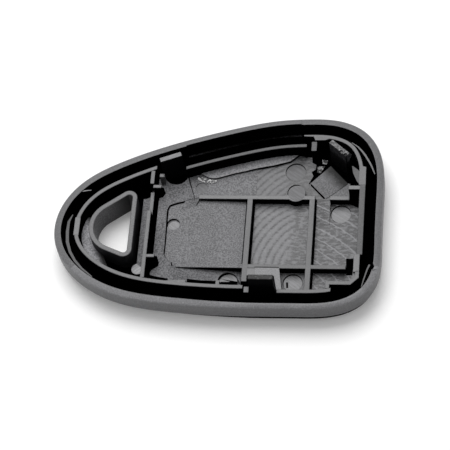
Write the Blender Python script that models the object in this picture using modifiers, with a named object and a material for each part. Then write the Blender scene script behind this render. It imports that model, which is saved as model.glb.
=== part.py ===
"""Open back half of a teardrop-shaped remote key shell, lying on its back with its inside up.

X runs along the shell from the keyring end to the wide end, Y from front to rear, Z up.
The origin is the middle of the shell's footprint, on the back face. All lengths are in metres.
"""

import math

import bpy
import bmesh
import numpy as np
from mathutils.geometry import convex_hull_2d

# Overall sizes of the cover
SHELL_LENGTH = 0.0662
SHELL_WIDTH = 0.0443
RIM_HEIGHT = 0.0058
RIM_WIDTH = 0.0015
BACK_EDGE_RADIUS = 0.0028
FLOOR_THICKNESS = 0.0013
SHELF_DEPTH = 0.0026
SHELF_LEDGE = 0.0002
REAR_FLOOR_DEPTH = 0.0032

# Clearances
SEAT_GAP = 0.0003
OVERRUN = 0.0010

# Inner locating wall, which follows the rim
CHANNEL_WIDTH = 0.00265
WALL_THICKNESS = 0.0008
WALL_RISE = 0.0003
REAR_WALL_INSET = 0.0064
REAR_WALL_THICKNESS = 0.0007
LENS_INSET = 0.0088
RIGHT_WALL_THICKNESS = 0.00115

# Circuit board bay, whose middle line is also the keyring eye's
BAY_AXIS_Y = -0.0034
BAY_DEPTH = 0.0151
RIB_THICKNESS = 0.0009
CELL_RIB_THICKNESS = 0.0011
RIB_DROP = 0.0024
RIGHT_WALL_INSET = 0.00375

# Lengths of the three bays, in whose proportion they share the room from cross wall to right wall
LEFT_BAY_LENGTH = 0.0190
CELL_BAY_LENGTH = 0.0115
RIGHT_BAY_LENGTH = 0.0091

# Cross wall between the keyring eye and the bay
CROSS_WALL_SETBACK = 0.0195
CROSS_WALL_THICKNESS = 0.0008
CROSS_WALL_LOW_LENGTH = 0.0053
CROSS_WALL_LOW_DROP = 0.0018
CROSS_WALL_REACH = 0.00085
CROSS_WALL_BREAK = 0.0010

# Rib ends, of which the starts are shares of the left bay's length
REAR_RIB_START_SHARE = 0.474
FRONT_RIB_START_SHARE = 0.295
REAR_RIB_STUB_LENGTH = 0.0035
REAR_RIB_STUB_GAP = 0.0004
FRONT_RIB_END_GAP = 0.0022

# Keyring eye: a sleeve whose bore is the hull of three circles
EYE_NOSE_SETBACK = 0.0132
EYE_NOSE_SHIFT = 0.0006
EYE_NOSE_RADIUS = 0.0051
EYE_CORNER_SETBACK = 0.0147
EYE_CORNER_RADIUS = 0.0007
EYE_CORNER_SPREAD = 0.0060
EYE_SLEEVE_WALL = 0.0010

# Ramped floors beside the front rib and in the left bay, which start at a share of the left bay's length
RAMP_START_SHARE = 0.153
LEFT_RAMP_STEP = 0.0001
LEFT_RAMP_FALL = 0.0009
FRONT_RAMP_FALL = 0.0017

# Thick tab in the locating wall at the keyring end
TAB_FRONT_Y = -0.0061
TAB_LENGTH = 0.0038
TAB_WIDTH = 0.0011

# Ends of the stretches of the locating wall
REAR_WALL_HOOK_GAP = 0.0030
REAR_WALL_RIB_GAP = 0.0012
CORNER_WALL_RIB_GAP = 0.0015
RIGHT_WALL_REACH = 0.00605
FRONT_RIGHT_WALL_INSET = 0.0033
WINDOW_LEFT_GAP = 0.0016
WINDOW_RIGHT_GAP = 0.0008
WINDOW_POST_GAP = 0.0006

# Front right corner, where the locating wall steps in
STEP_LENGTH = 0.0057
STEP_DEPTH = 0.00535
STEP_END_INSET = 0.0042
STEP_CORNER = 0.0016
STEP_STRAIGHT = 0.0012
BLOCK_WIDTH = 0.0012
BLOCK_LENGTH = 0.0036

# Snap hooks: a standing arm with a nose near its top
HOOK_RISE = 0.0032
HOOK_THICKNESS = 0.0010
HOOK_NOSE = 0.0005
HOOK_NOSE_HEIGHT = 0.0009
HOOK_LEAD_IN = 0.0012
LEFT_HOOK_WIDTH = 0.0045
FRONT_HOOK_WIDTH = 0.0049
CORNER_HOOK_WIDTH = 0.0048
LEFT_HOOK_WELL_RADIUS = 0.0029

# Where each hook stands: its reach from a wall or rib, its distance in from the outline, its turn
LEFT_HOOK_REACH = 0.0034
LEFT_HOOK_INSET = 0.00505
LEFT_HOOK_TURN = 20.9
FRONT_HOOK_REACH = 0.0034
FRONT_HOOK_INSET = 0.00524
FRONT_HOOK_TURN = 180.0
CORNER_HOOK_REACH = 0.0043
CORNER_HOOK_INSET = 0.00779
CORNER_HOOK_TURN = -41.6

# Frame round the front hook: a bar behind it and a splayed leg on its right
FRAME_START_GAP = 0.0015
FRAME_BAR_WIDTH = 0.0014
FRAME_LEG_WIDTH = 0.0010
FRAME_LEG_SPLAY = 0.0010
FRAME_LEG_GAP = 0.0005

# Small upright posts beside the ribs and walls
CROSS_POST_LENGTH = 0.0013
CROSS_POST_WIDTH = 0.0007
RIGHT_POST_LENGTH = 0.0019
RIGHT_POST_WIDTH = 0.0009
WINDOW_POST_LENGTH = 0.0010
WINDOW_POST_WIDTH = 0.0013
HOOK_POST_LENGTH = 0.0010
HOOK_POST_WIDTH = 0.0008
HOOK_POST_SETBACK = 0.0026
HOOK_POST_SHIFT = 0.0019
CORNER_POST_WIDTH = 0.0022
CORNER_POST_CLEARANCE = 0.0009

# Places of posts, as shares of the bay's depth from its middle line
CROSS_POST_SHARES = (0.58, -0.49)
RIGHT_POST_SHARE = 0.588

# Round marks left by ejector pins, each counted from the rib or wall beside it
PIN_MARK_DEPTH = 0.00015
LARGE_PIN_RADIUS = 0.0020
SMALL_PIN_RADIUS = 0.00125
BAY_PIN_X_REACH = 0.0053
BAY_PIN_Y_REACH = 0.0023
STRIP_PIN_X_REACH = 0.0025
STRIP_PIN_Y_REACH = 0.00245
REAR_PIN_X_REACH = 0.0032
REAR_PIN_Y_REACH = 0.00535
SMALL_PIN_X_REACH = 0.0004
SMALL_PIN_Y_REACH = 0.00295
RIB_PIN_X_REACH = 0.0028
RIB_PIN_Y_REACH = 0.0006
BOSS_REACH = 0.0016
BOSS_SHARE = 0.288

# Outline of the cover, as shares of its length and of its width, from the keyring end round the rear
OUTLINE_SHARES = (
    (-0.500, -0.117),
    (-0.482, 0.032),
    (-0.428, 0.147),
    (-0.323, 0.253),
    (-0.147, 0.364),
    (0.029, 0.445),
    (0.166, 0.490),
    (0.264, 0.500),
    (0.355, 0.490),
    (0.443, 0.420),
    (0.489, 0.294),
    (0.500, 0.090),
    (0.500, -0.158),
    (0.493, -0.312),
    (0.456, -0.415),
    (0.385, -0.479),
    (0.257, -0.499),
    (0.060, -0.499),
    (-0.136, -0.483),
    (-0.302, -0.436),
    (-0.415, -0.343),
    (-0.480, -0.226),
)
OUTLINE_POINTS = 96
CIRCLE_POINTS = 32
PIN_SIDES = 20
EDGE_SEGMENTS = 4
FLAT_NORMAL_Z = 0.5
MERGE_SHARE = 0.001

# Levels
WALL_TOP = RIM_HEIGHT + WALL_RISE
SHELF_LEVEL = RIM_HEIGHT - SHELF_DEPTH
REAR_FLOOR_LEVEL = RIM_HEIGHT - REAR_FLOOR_DEPTH
RIB_TOP = RIM_HEIGHT - RIB_DROP
FOOT_LEVEL = FLOOR_THICKNESS + SEAT_GAP
HOOK_TOP = RIM_HEIGHT + HOOK_RISE
CUT_TOP = HOOK_TOP + OVERRUN

# Insets of the locating wall
WALL_INSET = RIM_WIDTH + CHANNEL_WIDTH
WALL_BACK_INSET = WALL_INSET + WALL_THICKNESS
REAR_WALL_BACK_INSET = REAR_WALL_INSET + REAR_WALL_THICKNESS

# Lines across the cover, from the keyring end, from the wide end and through the bays between them
HALF_LENGTH = SHELL_LENGTH / 2
HALF_WIDTH = SHELL_WIDTH / 2
EYE_NOSE_X = -HALF_LENGTH + EYE_NOSE_SETBACK
EYE_CORNER_X = -HALF_LENGTH + EYE_CORNER_SETBACK
CROSS_WALL_X = -HALF_LENGTH + CROSS_WALL_SETBACK
CROSS_WALL_BACK_X = CROSS_WALL_X - CROSS_WALL_THICKNESS
RIGHT_WALL_END_X = HALF_LENGTH - RIGHT_WALL_INSET
RIGHT_WALL_X = RIGHT_WALL_END_X - RIGHT_WALL_THICKNESS
BAY_ROOM = RIGHT_WALL_X - CROSS_WALL_X - 2 * CELL_RIB_THICKNESS
LENGTH_SHARE = BAY_ROOM / (LEFT_BAY_LENGTH + CELL_BAY_LENGTH + RIGHT_BAY_LENGTH)
LEFT_RIB_X = CROSS_WALL_X + LEFT_BAY_LENGTH * LENGTH_SHARE
LEFT_RIB_END_X = LEFT_RIB_X + CELL_RIB_THICKNESS
RIGHT_RIB_X = LEFT_RIB_END_X + CELL_BAY_LENGTH * LENGTH_SHARE
RIGHT_RIB_END_X = RIGHT_RIB_X + CELL_RIB_THICKNESS
REAR_RIB_START_X = CROSS_WALL_X + REAR_RIB_START_SHARE * (LEFT_RIB_X - CROSS_WALL_X)
FRONT_RIB_START_X = CROSS_WALL_X + FRONT_RIB_START_SHARE * (LEFT_RIB_X - CROSS_WALL_X)
RAMP_START_X = CROSS_WALL_X + RAMP_START_SHARE * (LEFT_RIB_X - CROSS_WALL_X)
REAR_WALL_END_X = RIGHT_RIB_X - REAR_WALL_RIB_GAP
CORNER_WALL_START_X = RIGHT_RIB_X - CORNER_WALL_RIB_GAP
STEP_END_X = HALF_LENGTH - STEP_END_INSET
STEP_X = STEP_END_X - STEP_LENGTH
LEFT_HOOK_X = CROSS_WALL_X + LEFT_HOOK_REACH
FRONT_HOOK_X = LEFT_RIB_END_X + FRONT_HOOK_REACH
CORNER_HOOK_X = RIGHT_WALL_X - CORNER_HOOK_REACH
REAR_WALL_START_X = LEFT_HOOK_X + REAR_WALL_HOOK_GAP
WINDOW_START_X = FRONT_HOOK_X - FRONT_HOOK_WIDTH / 2 - WINDOW_LEFT_GAP
WINDOW_END_X = FRONT_HOOK_X + FRONT_HOOK_WIDTH / 2 + WINDOW_RIGHT_GAP

# Lines along the cover
BAY_REAR_Y = BAY_AXIS_Y + BAY_DEPTH / 2
BAY_FRONT_Y = BAY_AXIS_Y - BAY_DEPTH / 2
REAR_RIB_BACK_Y = BAY_REAR_Y + RIB_THICKNESS
FRONT_RIB_FACE_Y = BAY_FRONT_Y - RIB_THICKNESS
CROSS_WALL_BREAK_Y = BAY_REAR_Y + CROSS_WALL_REACH
STEP_Y = -HALF_WIDTH + STEP_DEPTH
BLOCK_FRONT_Y = STEP_Y + STEP_CORNER + STEP_STRAIGHT + SEAT_GAP
BLOCK_REAR_Y = BLOCK_FRONT_Y + BLOCK_LENGTH
RIGHT_WALL_FRONT_Y = BLOCK_REAR_Y + SEAT_GAP
RIGHT_WALL_REAR_Y = BAY_REAR_Y + RIGHT_WALL_REACH

PLASTIC_COLOUR = (0.018, 0.018, 0.019, 1.0)
PLASTIC_ROUGHNESS = 0.55


def clear_scene():
    for obj in list(bpy.data.objects):
        bpy.data.objects.remove(obj, do_unlink=True)


def new_collection(name):
    collection = bpy.data.collections.new(name)
    bpy.context.scene.collection.children.link(collection)
    return collection


def plastic(name):
    material = bpy.data.materials.new(name)
    material.use_nodes = True
    shader = material.node_tree.nodes["Principled BSDF"]
    shader.inputs["Base Color"].default_value = PLASTIC_COLOUR
    shader.inputs["Roughness"].default_value = PLASTIC_ROUGHNESS
    shader.inputs["Metallic"].default_value = 0.0
    return material


# Flat outlines

def smooth_loop(points, count):
    """A closed cubic spline through the points, with its parameter along the chords, at even steps."""
    points = np.asarray(points, float)
    knots = len(points)
    step = np.linalg.norm(np.roll(points, -1, axis=0) - points, axis=1)
    before = np.roll(step, 1)
    system = np.zeros((knots, knots))
    slope = (np.roll(points, -1, axis=0) - points) / step[:, None]
    for i in range(knots):
        system[i, i - 1] = before[i] / 6
        system[i, i] = (before[i] + step[i]) / 3
        system[i, (i + 1) % knots] = step[i] / 6
    bend = np.linalg.solve(system, slope - np.roll(slope, 1, axis=0))
    reach = np.concatenate([[0], np.cumsum(step)])
    loop = []
    for place in np.linspace(0, reach[-1], count, endpoint=False):
        i = min(int(np.searchsorted(reach, place, side="right")) - 1, knots - 1)
        after = (i + 1) % knots
        b = (place - reach[i]) / step[i]
        a = 1 - b
        curve = (a**3 - a) * bend[i] + (b**3 - b) * bend[after]
        loop.append(a * points[i] + b * points[after] + curve * step[i] ** 2 / 6)
    return np.array(loop)


def drawn_in(loop, inset):
    """A clockwise loop moved inwards along its normals."""
    along = np.roll(loop, -1, axis=0) - np.roll(loop, 1, axis=0)
    along /= np.linalg.norm(along, axis=1)[:, None]
    return loop + inset * np.stack([along[:, 1], -along[:, 0]], axis=1)


def cover_outline(inset=0.0):
    points = [(x * SHELL_LENGTH, y * SHELL_WIDTH) for x, y in OUTLINE_SHARES]
    return drawn_in(smooth_loop(points, OUTLINE_POINTS), inset)


def circle(x, y, radius, count=CIRCLE_POINTS):
    turns = [2 * math.pi * i / count for i in range(count)]
    return [(x + radius * math.cos(turn), y + radius * math.sin(turn)) for turn in turns]


def outline_y(x, inset, side):
    """Where the cover's outline, drawn in by an inset, passes an X on its rear (1) or front (-1) side."""
    loop = cover_outline(inset)
    first = int(np.argmin(loop[:, 0]))
    last = int(np.argmax(loop[:, 0]))
    loop = np.roll(loop, -first, axis=0)
    last = (last - first) % len(loop)
    half = loop[: last + 1] if side > 0 else loop[last:][::-1]
    return float(np.interp(x, half[:, 0], half[:, 1]))


def eye_outline(wall):
    """The keyring bore grown by a wall: a large arc at the nose and a small circle at each corner."""
    nose = circle(EYE_NOSE_X, BAY_AXIS_Y - EYE_NOSE_SHIFT, EYE_NOSE_RADIUS + wall)
    points = [(x, y) for x, y in nose if x < EYE_CORNER_X]
    for side in (-1, 1):
        middle = BAY_AXIS_Y + side * EYE_CORNER_SPREAD
        points += circle(EYE_CORNER_X, middle, EYE_CORNER_RADIUS + wall)
    return [points[i] for i in convex_hull_2d(points)]


def left_hook_place():
    return LEFT_HOOK_X, outline_y(LEFT_HOOK_X, LEFT_HOOK_INSET, 1)


def front_hook_place():
    return FRONT_HOOK_X, outline_y(FRONT_HOOK_X, FRONT_HOOK_INSET, -1)


def corner_hook_place():
    return CORNER_HOOK_X, outline_y(CORNER_HOOK_X, CORNER_HOOK_INSET, 1)


def rectangle(x0, x1, y0, y1):
    return [(x0, y0), (x1, y0), (x1, y1), (x0, y1)]


# Solids

def slab(name, collection, loops, bottom, top):
    """Flat outlines, the first with any others as holes in it, filled and given a thickness."""
    curve = bpy.data.curves.new(name, "CURVE")
    curve.dimensions = "2D"
    curve.fill_mode = "BOTH"
    curve.extrude = (top - bottom) / 2
    for loop in loops:
        spline = curve.splines.new("POLY")
        spline.points.add(len(loop) - 1)
        for point, (x, y) in zip(spline.points, loop):
            point.co = (x, y, 0, 1)
        spline.use_cyclic_u = True
    guide = bpy.data.objects.new(name + "_outline", curve)
    collection.objects.link(guide)
    guide.location = (0, 0, (top + bottom) / 2)
    bpy.context.view_layer.update()
    graph = bpy.context.evaluated_depsgraph_get()
    mesh = bpy.data.meshes.new_from_object(guide.evaluated_get(graph))
    mesh.name = name
    obj = bpy.data.objects.new(name, mesh)
    obj.matrix_world = guide.matrix_world
    collection.objects.link(obj)
    bpy.data.objects.remove(guide, do_unlink=True)
    form = bmesh.new()
    form.from_mesh(mesh)
    bmesh.ops.remove_doubles(form, verts=form.verts, dist=WALL_THICKNESS * MERGE_SHARE)
    bmesh.ops.recalc_face_normals(form, faces=form.faces)
    form.to_mesh(mesh)
    form.free()
    return obj


def boolean(obj, tool, operation):
    modifier = obj.modifiers.new(operation.lower() + "_" + tool.name, "BOOLEAN")
    modifier.operation = operation
    modifier.solver = "EXACT"
    modifier.object = tool


def cutter(name, loops, bottom, top=CUT_TOP):
    tool = slab("cut_" + name, cutters, loops, bottom, top)
    tool.hide_render = True
    tool.display_type = "WIRE"
    return tool


def limit(obj, loop):
    """Keeps only what lies inside a flat outline."""
    tool = cutter(obj.name + "_limit", [loop], -OVERRUN, CUT_TOP + OVERRUN)
    boolean(obj, tool, "INTERSECT")


def pocket(name, area, level, inset=WALL_INSET):
    """A cutter down to a level, inside the cover's outline drawn in by an inset and inside an area."""
    tool = cutter(name, [cover_outline(inset)], level)
    limit(tool, area)
    return tool


def ramp(name, area, level, fall):
    """A cutter whose underside slopes down from the left to the right end of an area."""
    tool = cutter(name, [area], level)
    middle = (area[0][0] + area[1][0]) / 2
    for vertex in tool.data.vertices:
        if vertex.co.z < 0 and vertex.co.x > middle:
            vertex.co.z -= fall
    return tool


def member(name, loops, top=WALL_TOP, bottom=FOOT_LEVEL):
    """A piece of the shell that stands up from the deep floor."""
    obj = slab(name, parts, loops, bottom, top)
    obj.data.materials.clear()
    obj.data.materials.append(plastic(name + "_plastic"))
    return obj


# Sub-parts

def round_back_edge(cover):
    """Rounds the lower edge of the cover's outer side."""
    form = bmesh.new()
    form.from_mesh(cover.data)
    for down in (False, True):
        flat = [face for face in form.faces if abs(face.normal.z) > FLAT_NORMAL_Z]
        cap = [face for face in flat if (face.normal.z < 0) == down]
        bmesh.ops.dissolve_faces(form, faces=cap)
    weight = form.edges.layers.float.new("bevel_weight_edge")
    for edge in form.edges:
        low = all(vertex.co.z < 0 for vertex in edge.verts)
        edge[weight] = 1.0 if low else 0.0
    form.to_mesh(cover.data)
    form.free()
    rounding = cover.modifiers.new("rounded_back_edge", "BEVEL")
    rounding.limit_method = "WEIGHT"
    rounding.width = BACK_EDGE_RADIUS
    rounding.segments = EDGE_SEGMENTS


def channel_tools():
    """Cutters for the deep channel beside the locating wall."""
    outer = cover_outline(RIM_WIDTH + SHELF_LEDGE)
    channel = cutter("channel", [outer, cover_outline(WALL_BACK_INSET + SEAT_GAP)], FLOOR_THICKNESS)
    back = cover_outline(REAR_WALL_BACK_INSET + SEAT_GAP)
    rear = cutter("rear_channel", [cover_outline(WALL_INSET), back], FLOOR_THICKNESS)
    start_x = REAR_WALL_START_X - SEAT_GAP
    limit(rear, rectangle(start_x, REAR_WALL_END_X + SEAT_GAP, BAY_REAR_Y, HALF_WIDTH))
    return [channel, rear]


def floor_tools():
    """Cutters for the floors of the bays, which lie at several levels."""
    behind_rib = REAR_RIB_BACK_Y + SEAT_GAP
    bays = rectangle(LEFT_RIB_X - SEAT_GAP, HALF_LENGTH, -HALF_WIDTH, behind_rib)
    corner = rectangle(RIGHT_RIB_X, HALF_LENGTH, BAY_AXIS_Y, HALF_WIDTH)
    rear = rectangle(REAR_RIB_START_X, HALF_LENGTH, BAY_REAR_Y, HALF_WIDTH)
    left = rectangle(RAMP_START_X, LEFT_RIB_X, BAY_FRONT_Y, BAY_REAR_Y)
    strip_front_y = outline_y(FRONT_RIB_START_X, WALL_BACK_INSET, -1)
    strip = rectangle(FRONT_RIB_START_X, LEFT_RIB_X, strip_front_y, FRONT_RIB_FACE_Y)
    return [
        cutter("interior", [cover_outline(RIM_WIDTH)], SHELF_LEVEL),
        pocket("bays", bays, FLOOR_THICKNESS),
        pocket("corner", corner, FLOOR_THICKNESS),
        pocket("rear_floor", rear, REAR_FLOOR_LEVEL, LENS_INSET),
        ramp("left_bay", left, SHELF_LEVEL - LEFT_RAMP_STEP, LEFT_RAMP_FALL),
        ramp("front_strip", strip, SHELF_LEVEL - LEFT_RAMP_STEP, FRONT_RAMP_FALL),
    ]


def eye_tools():
    """Cutters for the hole that the keyring sleeve stands in, and for the deep floor on two sides of it."""
    tools = [cutter("eye", [eye_outline(EYE_SLEEVE_WALL + SEAT_GAP)], -OVERRUN)]
    start_x = EYE_NOSE_X - EYE_NOSE_RADIUS
    near = EYE_CORNER_SPREAD + EYE_CORNER_RADIUS
    rear = rectangle(start_x, CROSS_WALL_BACK_X, BAY_AXIS_Y + near, HALF_WIDTH)
    front = rectangle(start_x, CROSS_WALL_BACK_X, -HALF_WIDTH, BAY_AXIS_Y - near)
    tools.append(pocket("eye_rear", rear, FLOOR_THICKNESS))
    tools.append(pocket("eye_front", front, FLOOR_THICKNESS))
    return tools


def pin_tools():
    """Cutters for the round marks that ejector pins leave in the floors."""
    bay_x = RIGHT_RIB_END_X + BAY_PIN_X_REACH
    bay_y = BAY_REAR_Y - BAY_PIN_Y_REACH
    strip_x = RIGHT_RIB_X - STRIP_PIN_X_REACH
    strip_y = FRONT_RIB_FACE_Y - STRIP_PIN_Y_REACH
    rear_x = RIGHT_RIB_X - REAR_PIN_X_REACH
    rear_y = REAR_RIB_BACK_Y + REAR_PIN_Y_REACH
    small_x = REAR_RIB_START_X + SMALL_PIN_X_REACH
    small_y = REAR_RIB_BACK_Y + SMALL_PIN_Y_REACH
    marks = (
        ("bay_pin", bay_x, bay_y, LARGE_PIN_RADIUS, FLOOR_THICKNESS),
        ("strip_pin", strip_x, strip_y, LARGE_PIN_RADIUS, FLOOR_THICKNESS),
        ("rear_pin", rear_x, rear_y, LARGE_PIN_RADIUS, REAR_FLOOR_LEVEL),
        ("small_pin", small_x, small_y, SMALL_PIN_RADIUS, REAR_FLOOR_LEVEL),
    )
    tools = []
    for name, x, y, radius, level in marks:
        tools.append(cutter(name, [circle(x, y, radius, PIN_SIDES)], level - PIN_MARK_DEPTH))
    return tools


def rib_pin(growth):
    """The round pad of an ejector pin that widens the rear rib, grown by a gap."""
    middle_x = RIGHT_RIB_X - RIB_PIN_X_REACH
    middle_y = REAR_RIB_BACK_Y + RIB_PIN_Y_REACH
    return circle(middle_x, middle_y, LARGE_PIN_RADIUS + growth, PIN_SIDES)


def ejector_pad(growth):
    """The round pad between the keyring sleeve and the front wall, grown by a gap."""
    x = CROSS_WALL_BACK_X - BOSS_REACH
    sleeve_y = BAY_AXIS_Y - EYE_CORNER_SPREAD - EYE_CORNER_RADIUS - EYE_SLEEVE_WALL
    wall_y = outline_y(x, WALL_BACK_INSET, -1)
    return circle(x, sleeve_y + BOSS_SHARE * (wall_y - sleeve_y), SMALL_PIN_RADIUS + growth, PIN_SIDES)


def seat_tools():
    """Cutters for the slots that ribs, posts and the cross wall stand in, one seat gap larger than each."""
    tools = []
    for name, x0, x1, y0, y1, _ in straight_members():
        area = rectangle(x0 - SEAT_GAP, x1 + SEAT_GAP, y0 - SEAT_GAP, y1 + SEAT_GAP)
        tools.append(cutter(name + "_seat", [area], FLOOR_THICKNESS))
    tools.append(cutter("rib_pin_seat", [rib_pin(SEAT_GAP)], FLOOR_THICKNESS))
    tools.append(cutter("pad_seat", [ejector_pad(SEAT_GAP)], FLOOR_THICKNESS))
    well = circle(*left_hook_place(), LEFT_HOOK_WELL_RADIUS)
    tools.append(cutter("hook_well", [well], FLOOR_THICKNESS))
    return tools


def make_cover():
    cover = member("back_cover", [cover_outline()], RIM_HEIGHT, 0)
    round_back_edge(cover)
    for tool in floor_tools() + channel_tools() + eye_tools() + seat_tools() + pin_tools():
        boolean(cover, tool, "DIFFERENCE")


def straight_members():
    """Name, lowest and highest X, lowest and highest Y, and top of each rib, post and straight wall."""
    gap = SEAT_GAP
    cross_front_y = outline_y(CROSS_WALL_BACK_X, WALL_BACK_INSET + gap, -1)
    cross_rear_y = outline_y(CROSS_WALL_BACK_X, WALL_BACK_INSET + gap, 1)
    break_end_y = CROSS_WALL_BREAK_Y + CROSS_WALL_BREAK
    tab_x = -HALF_LENGTH + WALL_INSET
    right_post_start_x = RIGHT_WALL_X - gap - RIGHT_POST_LENGTH
    stub_end_x = right_post_start_x - REAR_RIB_STUB_GAP
    stub_x = stub_end_x - REAR_RIB_STUB_LENGTH
    rows = [
        ("cross_wall", CROSS_WALL_BACK_X, CROSS_WALL_X, cross_front_y, CROSS_WALL_BREAK_Y, WALL_TOP),
        ("cross_wall_rear", CROSS_WALL_BACK_X, CROSS_WALL_X, break_end_y, cross_rear_y, WALL_TOP),
        ("locating_tab", tab_x, tab_x + TAB_WIDTH, TAB_FRONT_Y, TAB_FRONT_Y + TAB_LENGTH, WALL_TOP),
        ("rear_rib", REAR_RIB_START_X, RIGHT_RIB_END_X, BAY_REAR_Y, REAR_RIB_BACK_Y, RIB_TOP),
        ("rear_rib_stub", stub_x, stub_end_x, BAY_REAR_Y, REAR_RIB_BACK_Y, RIB_TOP),
        ("right_wall", RIGHT_WALL_X, RIGHT_WALL_END_X, RIGHT_WALL_FRONT_Y, RIGHT_WALL_REAR_Y, WALL_TOP),
        ("right_block", STEP_END_X - BLOCK_WIDTH, STEP_END_X, BLOCK_FRONT_Y, BLOCK_REAR_Y, WALL_TOP),
    ]
    front_ribs = (
        ("front_rib_left", FRONT_RIB_START_X, LEFT_RIB_X - gap),
        ("front_rib_middle", LEFT_RIB_END_X + gap, RIGHT_RIB_X - gap),
        ("front_rib_right", RIGHT_RIB_END_X + gap, RIGHT_WALL_X - FRONT_RIB_END_GAP),
    )
    for name, x0, x1 in front_ribs:
        rows.append((name, x0, x1, FRONT_RIB_FACE_Y, BAY_FRONT_Y, RIB_TOP))
    window_post_x = WINDOW_START_X + WINDOW_POST_GAP
    window_post_y = outline_y(window_post_x, FRONT_RIGHT_WALL_INSET, -1)
    cell_ribs = (
        ("cell_rib_left", LEFT_RIB_X, outline_y(LEFT_RIB_X, WALL_BACK_INSET + gap, -1)),
        ("cell_rib_right", RIGHT_RIB_X, outline_y(RIGHT_RIB_X, WALL_BACK_INSET + gap, -1)),
    )
    for name, x0, front_y in cell_ribs:
        rows.append((name, x0, x0 + CELL_RIB_THICKNESS, front_y, BAY_REAR_Y - gap, RIB_TOP))
    cross_post_x = CROSS_WALL_X + gap + CROSS_POST_LENGTH / 2
    right_post_x = right_post_start_x + RIGHT_POST_LENGTH / 2
    right_post_y = BAY_AXIS_Y + RIGHT_POST_SHARE * BAY_DEPTH
    hook_x, hook_y = left_hook_place()
    hook_post_x = hook_x - HOOK_POST_SHIFT
    hook_post_y = hook_y - HOOK_POST_SETBACK
    window_post_x += WINDOW_POST_LENGTH / 2
    window_post_y += WINDOW_POST_WIDTH / 2
    corner_post_x = RIGHT_RIB_X + CELL_RIB_THICKNESS / 2
    corner_inset = WALL_BACK_INSET + CORNER_POST_CLEARANCE
    corner_post_y = outline_y(corner_post_x, corner_inset, 1) - CORNER_POST_WIDTH / 2
    posts = [
        ("post_hook_left", hook_post_x, hook_post_y, HOOK_POST_LENGTH, HOOK_POST_WIDTH),
        ("post_corner", corner_post_x, corner_post_y, CELL_RIB_THICKNESS, CORNER_POST_WIDTH),
        ("post_right", right_post_x, right_post_y, RIGHT_POST_LENGTH, RIGHT_POST_WIDTH),
        ("post_window", window_post_x, window_post_y, WINDOW_POST_LENGTH, WINDOW_POST_WIDTH),
    ]
    for name, share in zip(("post_cross_rear", "post_cross_front"), CROSS_POST_SHARES):
        post_y = BAY_AXIS_Y + share * BAY_DEPTH
        posts.append((name, cross_post_x, post_y, CROSS_POST_LENGTH, CROSS_POST_WIDTH))
    for name, x, y, length, width in posts:
        rows.append((name, x - length / 2, x + length / 2, y - width / 2, y + width / 2, WALL_TOP))
    return rows


def make_straight_members():
    for name, x0, x1, y0, y1, top in straight_members():
        obj = member(name, [rectangle(x0, x1, y0, y1)], top)
        if name == "cross_wall":
            low = rectangle(-HALF_LENGTH, 0, CROSS_WALL_BREAK_Y - CROSS_WALL_LOW_LENGTH, HALF_WIDTH)
            boolean(obj, cutter("cross_wall_low", [low], WALL_TOP - CROSS_WALL_LOW_DROP), "DIFFERENCE")
        if name == "rear_rib":
            boolean(obj, cutter("rib_pin", [rib_pin(0)], FOOT_LEVEL, RIB_TOP), "UNION")


def make_wall_stretches():
    """The stretches of the locating wall that follow the cover's outline."""
    wall = WALL_THICKNESS
    tab_front_y = TAB_FRONT_Y - SEAT_GAP
    tab_rear_y = TAB_FRONT_Y + TAB_LENGTH + SEAT_GAP
    corner_y = RIGHT_WALL_REAR_Y + SEAT_GAP
    left_x = -HALF_LENGTH
    right_x = HALF_LENGTH
    front_y = -HALF_WIDTH
    rear_y = HALF_WIDTH
    areas = {
        "arc_wall_rear": rectangle(left_x, CROSS_WALL_X, tab_rear_y, rear_y),
        "front_wall": rectangle(left_x, WINDOW_START_X, front_y, tab_front_y),
        "rear_wall": rectangle(REAR_WALL_START_X, REAR_WALL_END_X, BAY_REAR_Y, rear_y),
        "corner_wall": rectangle(CORNER_WALL_START_X, right_x, corner_y, rear_y),
        "front_wall_right": rectangle(WINDOW_END_X, STEP_X, front_y, BAY_FRONT_Y),
    }
    lines = {
        "rear_wall": (REAR_WALL_INSET, REAR_WALL_THICKNESS),
        "front_wall_right": (FRONT_RIGHT_WALL_INSET, wall),
    }
    for name, area in areas.items():
        inset, thickness = lines.get(name, (WALL_INSET, wall))
        obj = member(name, [cover_outline(inset), cover_outline(inset + thickness)])
        limit(obj, area)


def make_step_wall():
    """The locating wall's step in round the front right corner."""
    wall = WALL_THICKNESS
    start_y = outline_y(STEP_X, FRONT_RIGHT_WALL_INSET + wall, -1) + SEAT_GAP
    end_y = BLOCK_FRONT_Y - SEAT_GAP
    bend = wall * math.tan(math.pi / 8)
    outer = [
        (STEP_X, start_y),
        (STEP_X, STEP_Y),
        (STEP_END_X - STEP_CORNER, STEP_Y),
        (STEP_END_X, STEP_Y + STEP_CORNER),
        (STEP_END_X, end_y),
    ]
    inner = [
        (STEP_END_X - wall, end_y),
        (STEP_END_X - wall, STEP_Y + STEP_CORNER + bend),
        (STEP_END_X - STEP_CORNER - bend, STEP_Y + wall),
        (STEP_X - wall, STEP_Y + wall),
        (STEP_X - wall, start_y),
    ]
    member("step_wall", [outer + inner])


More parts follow.
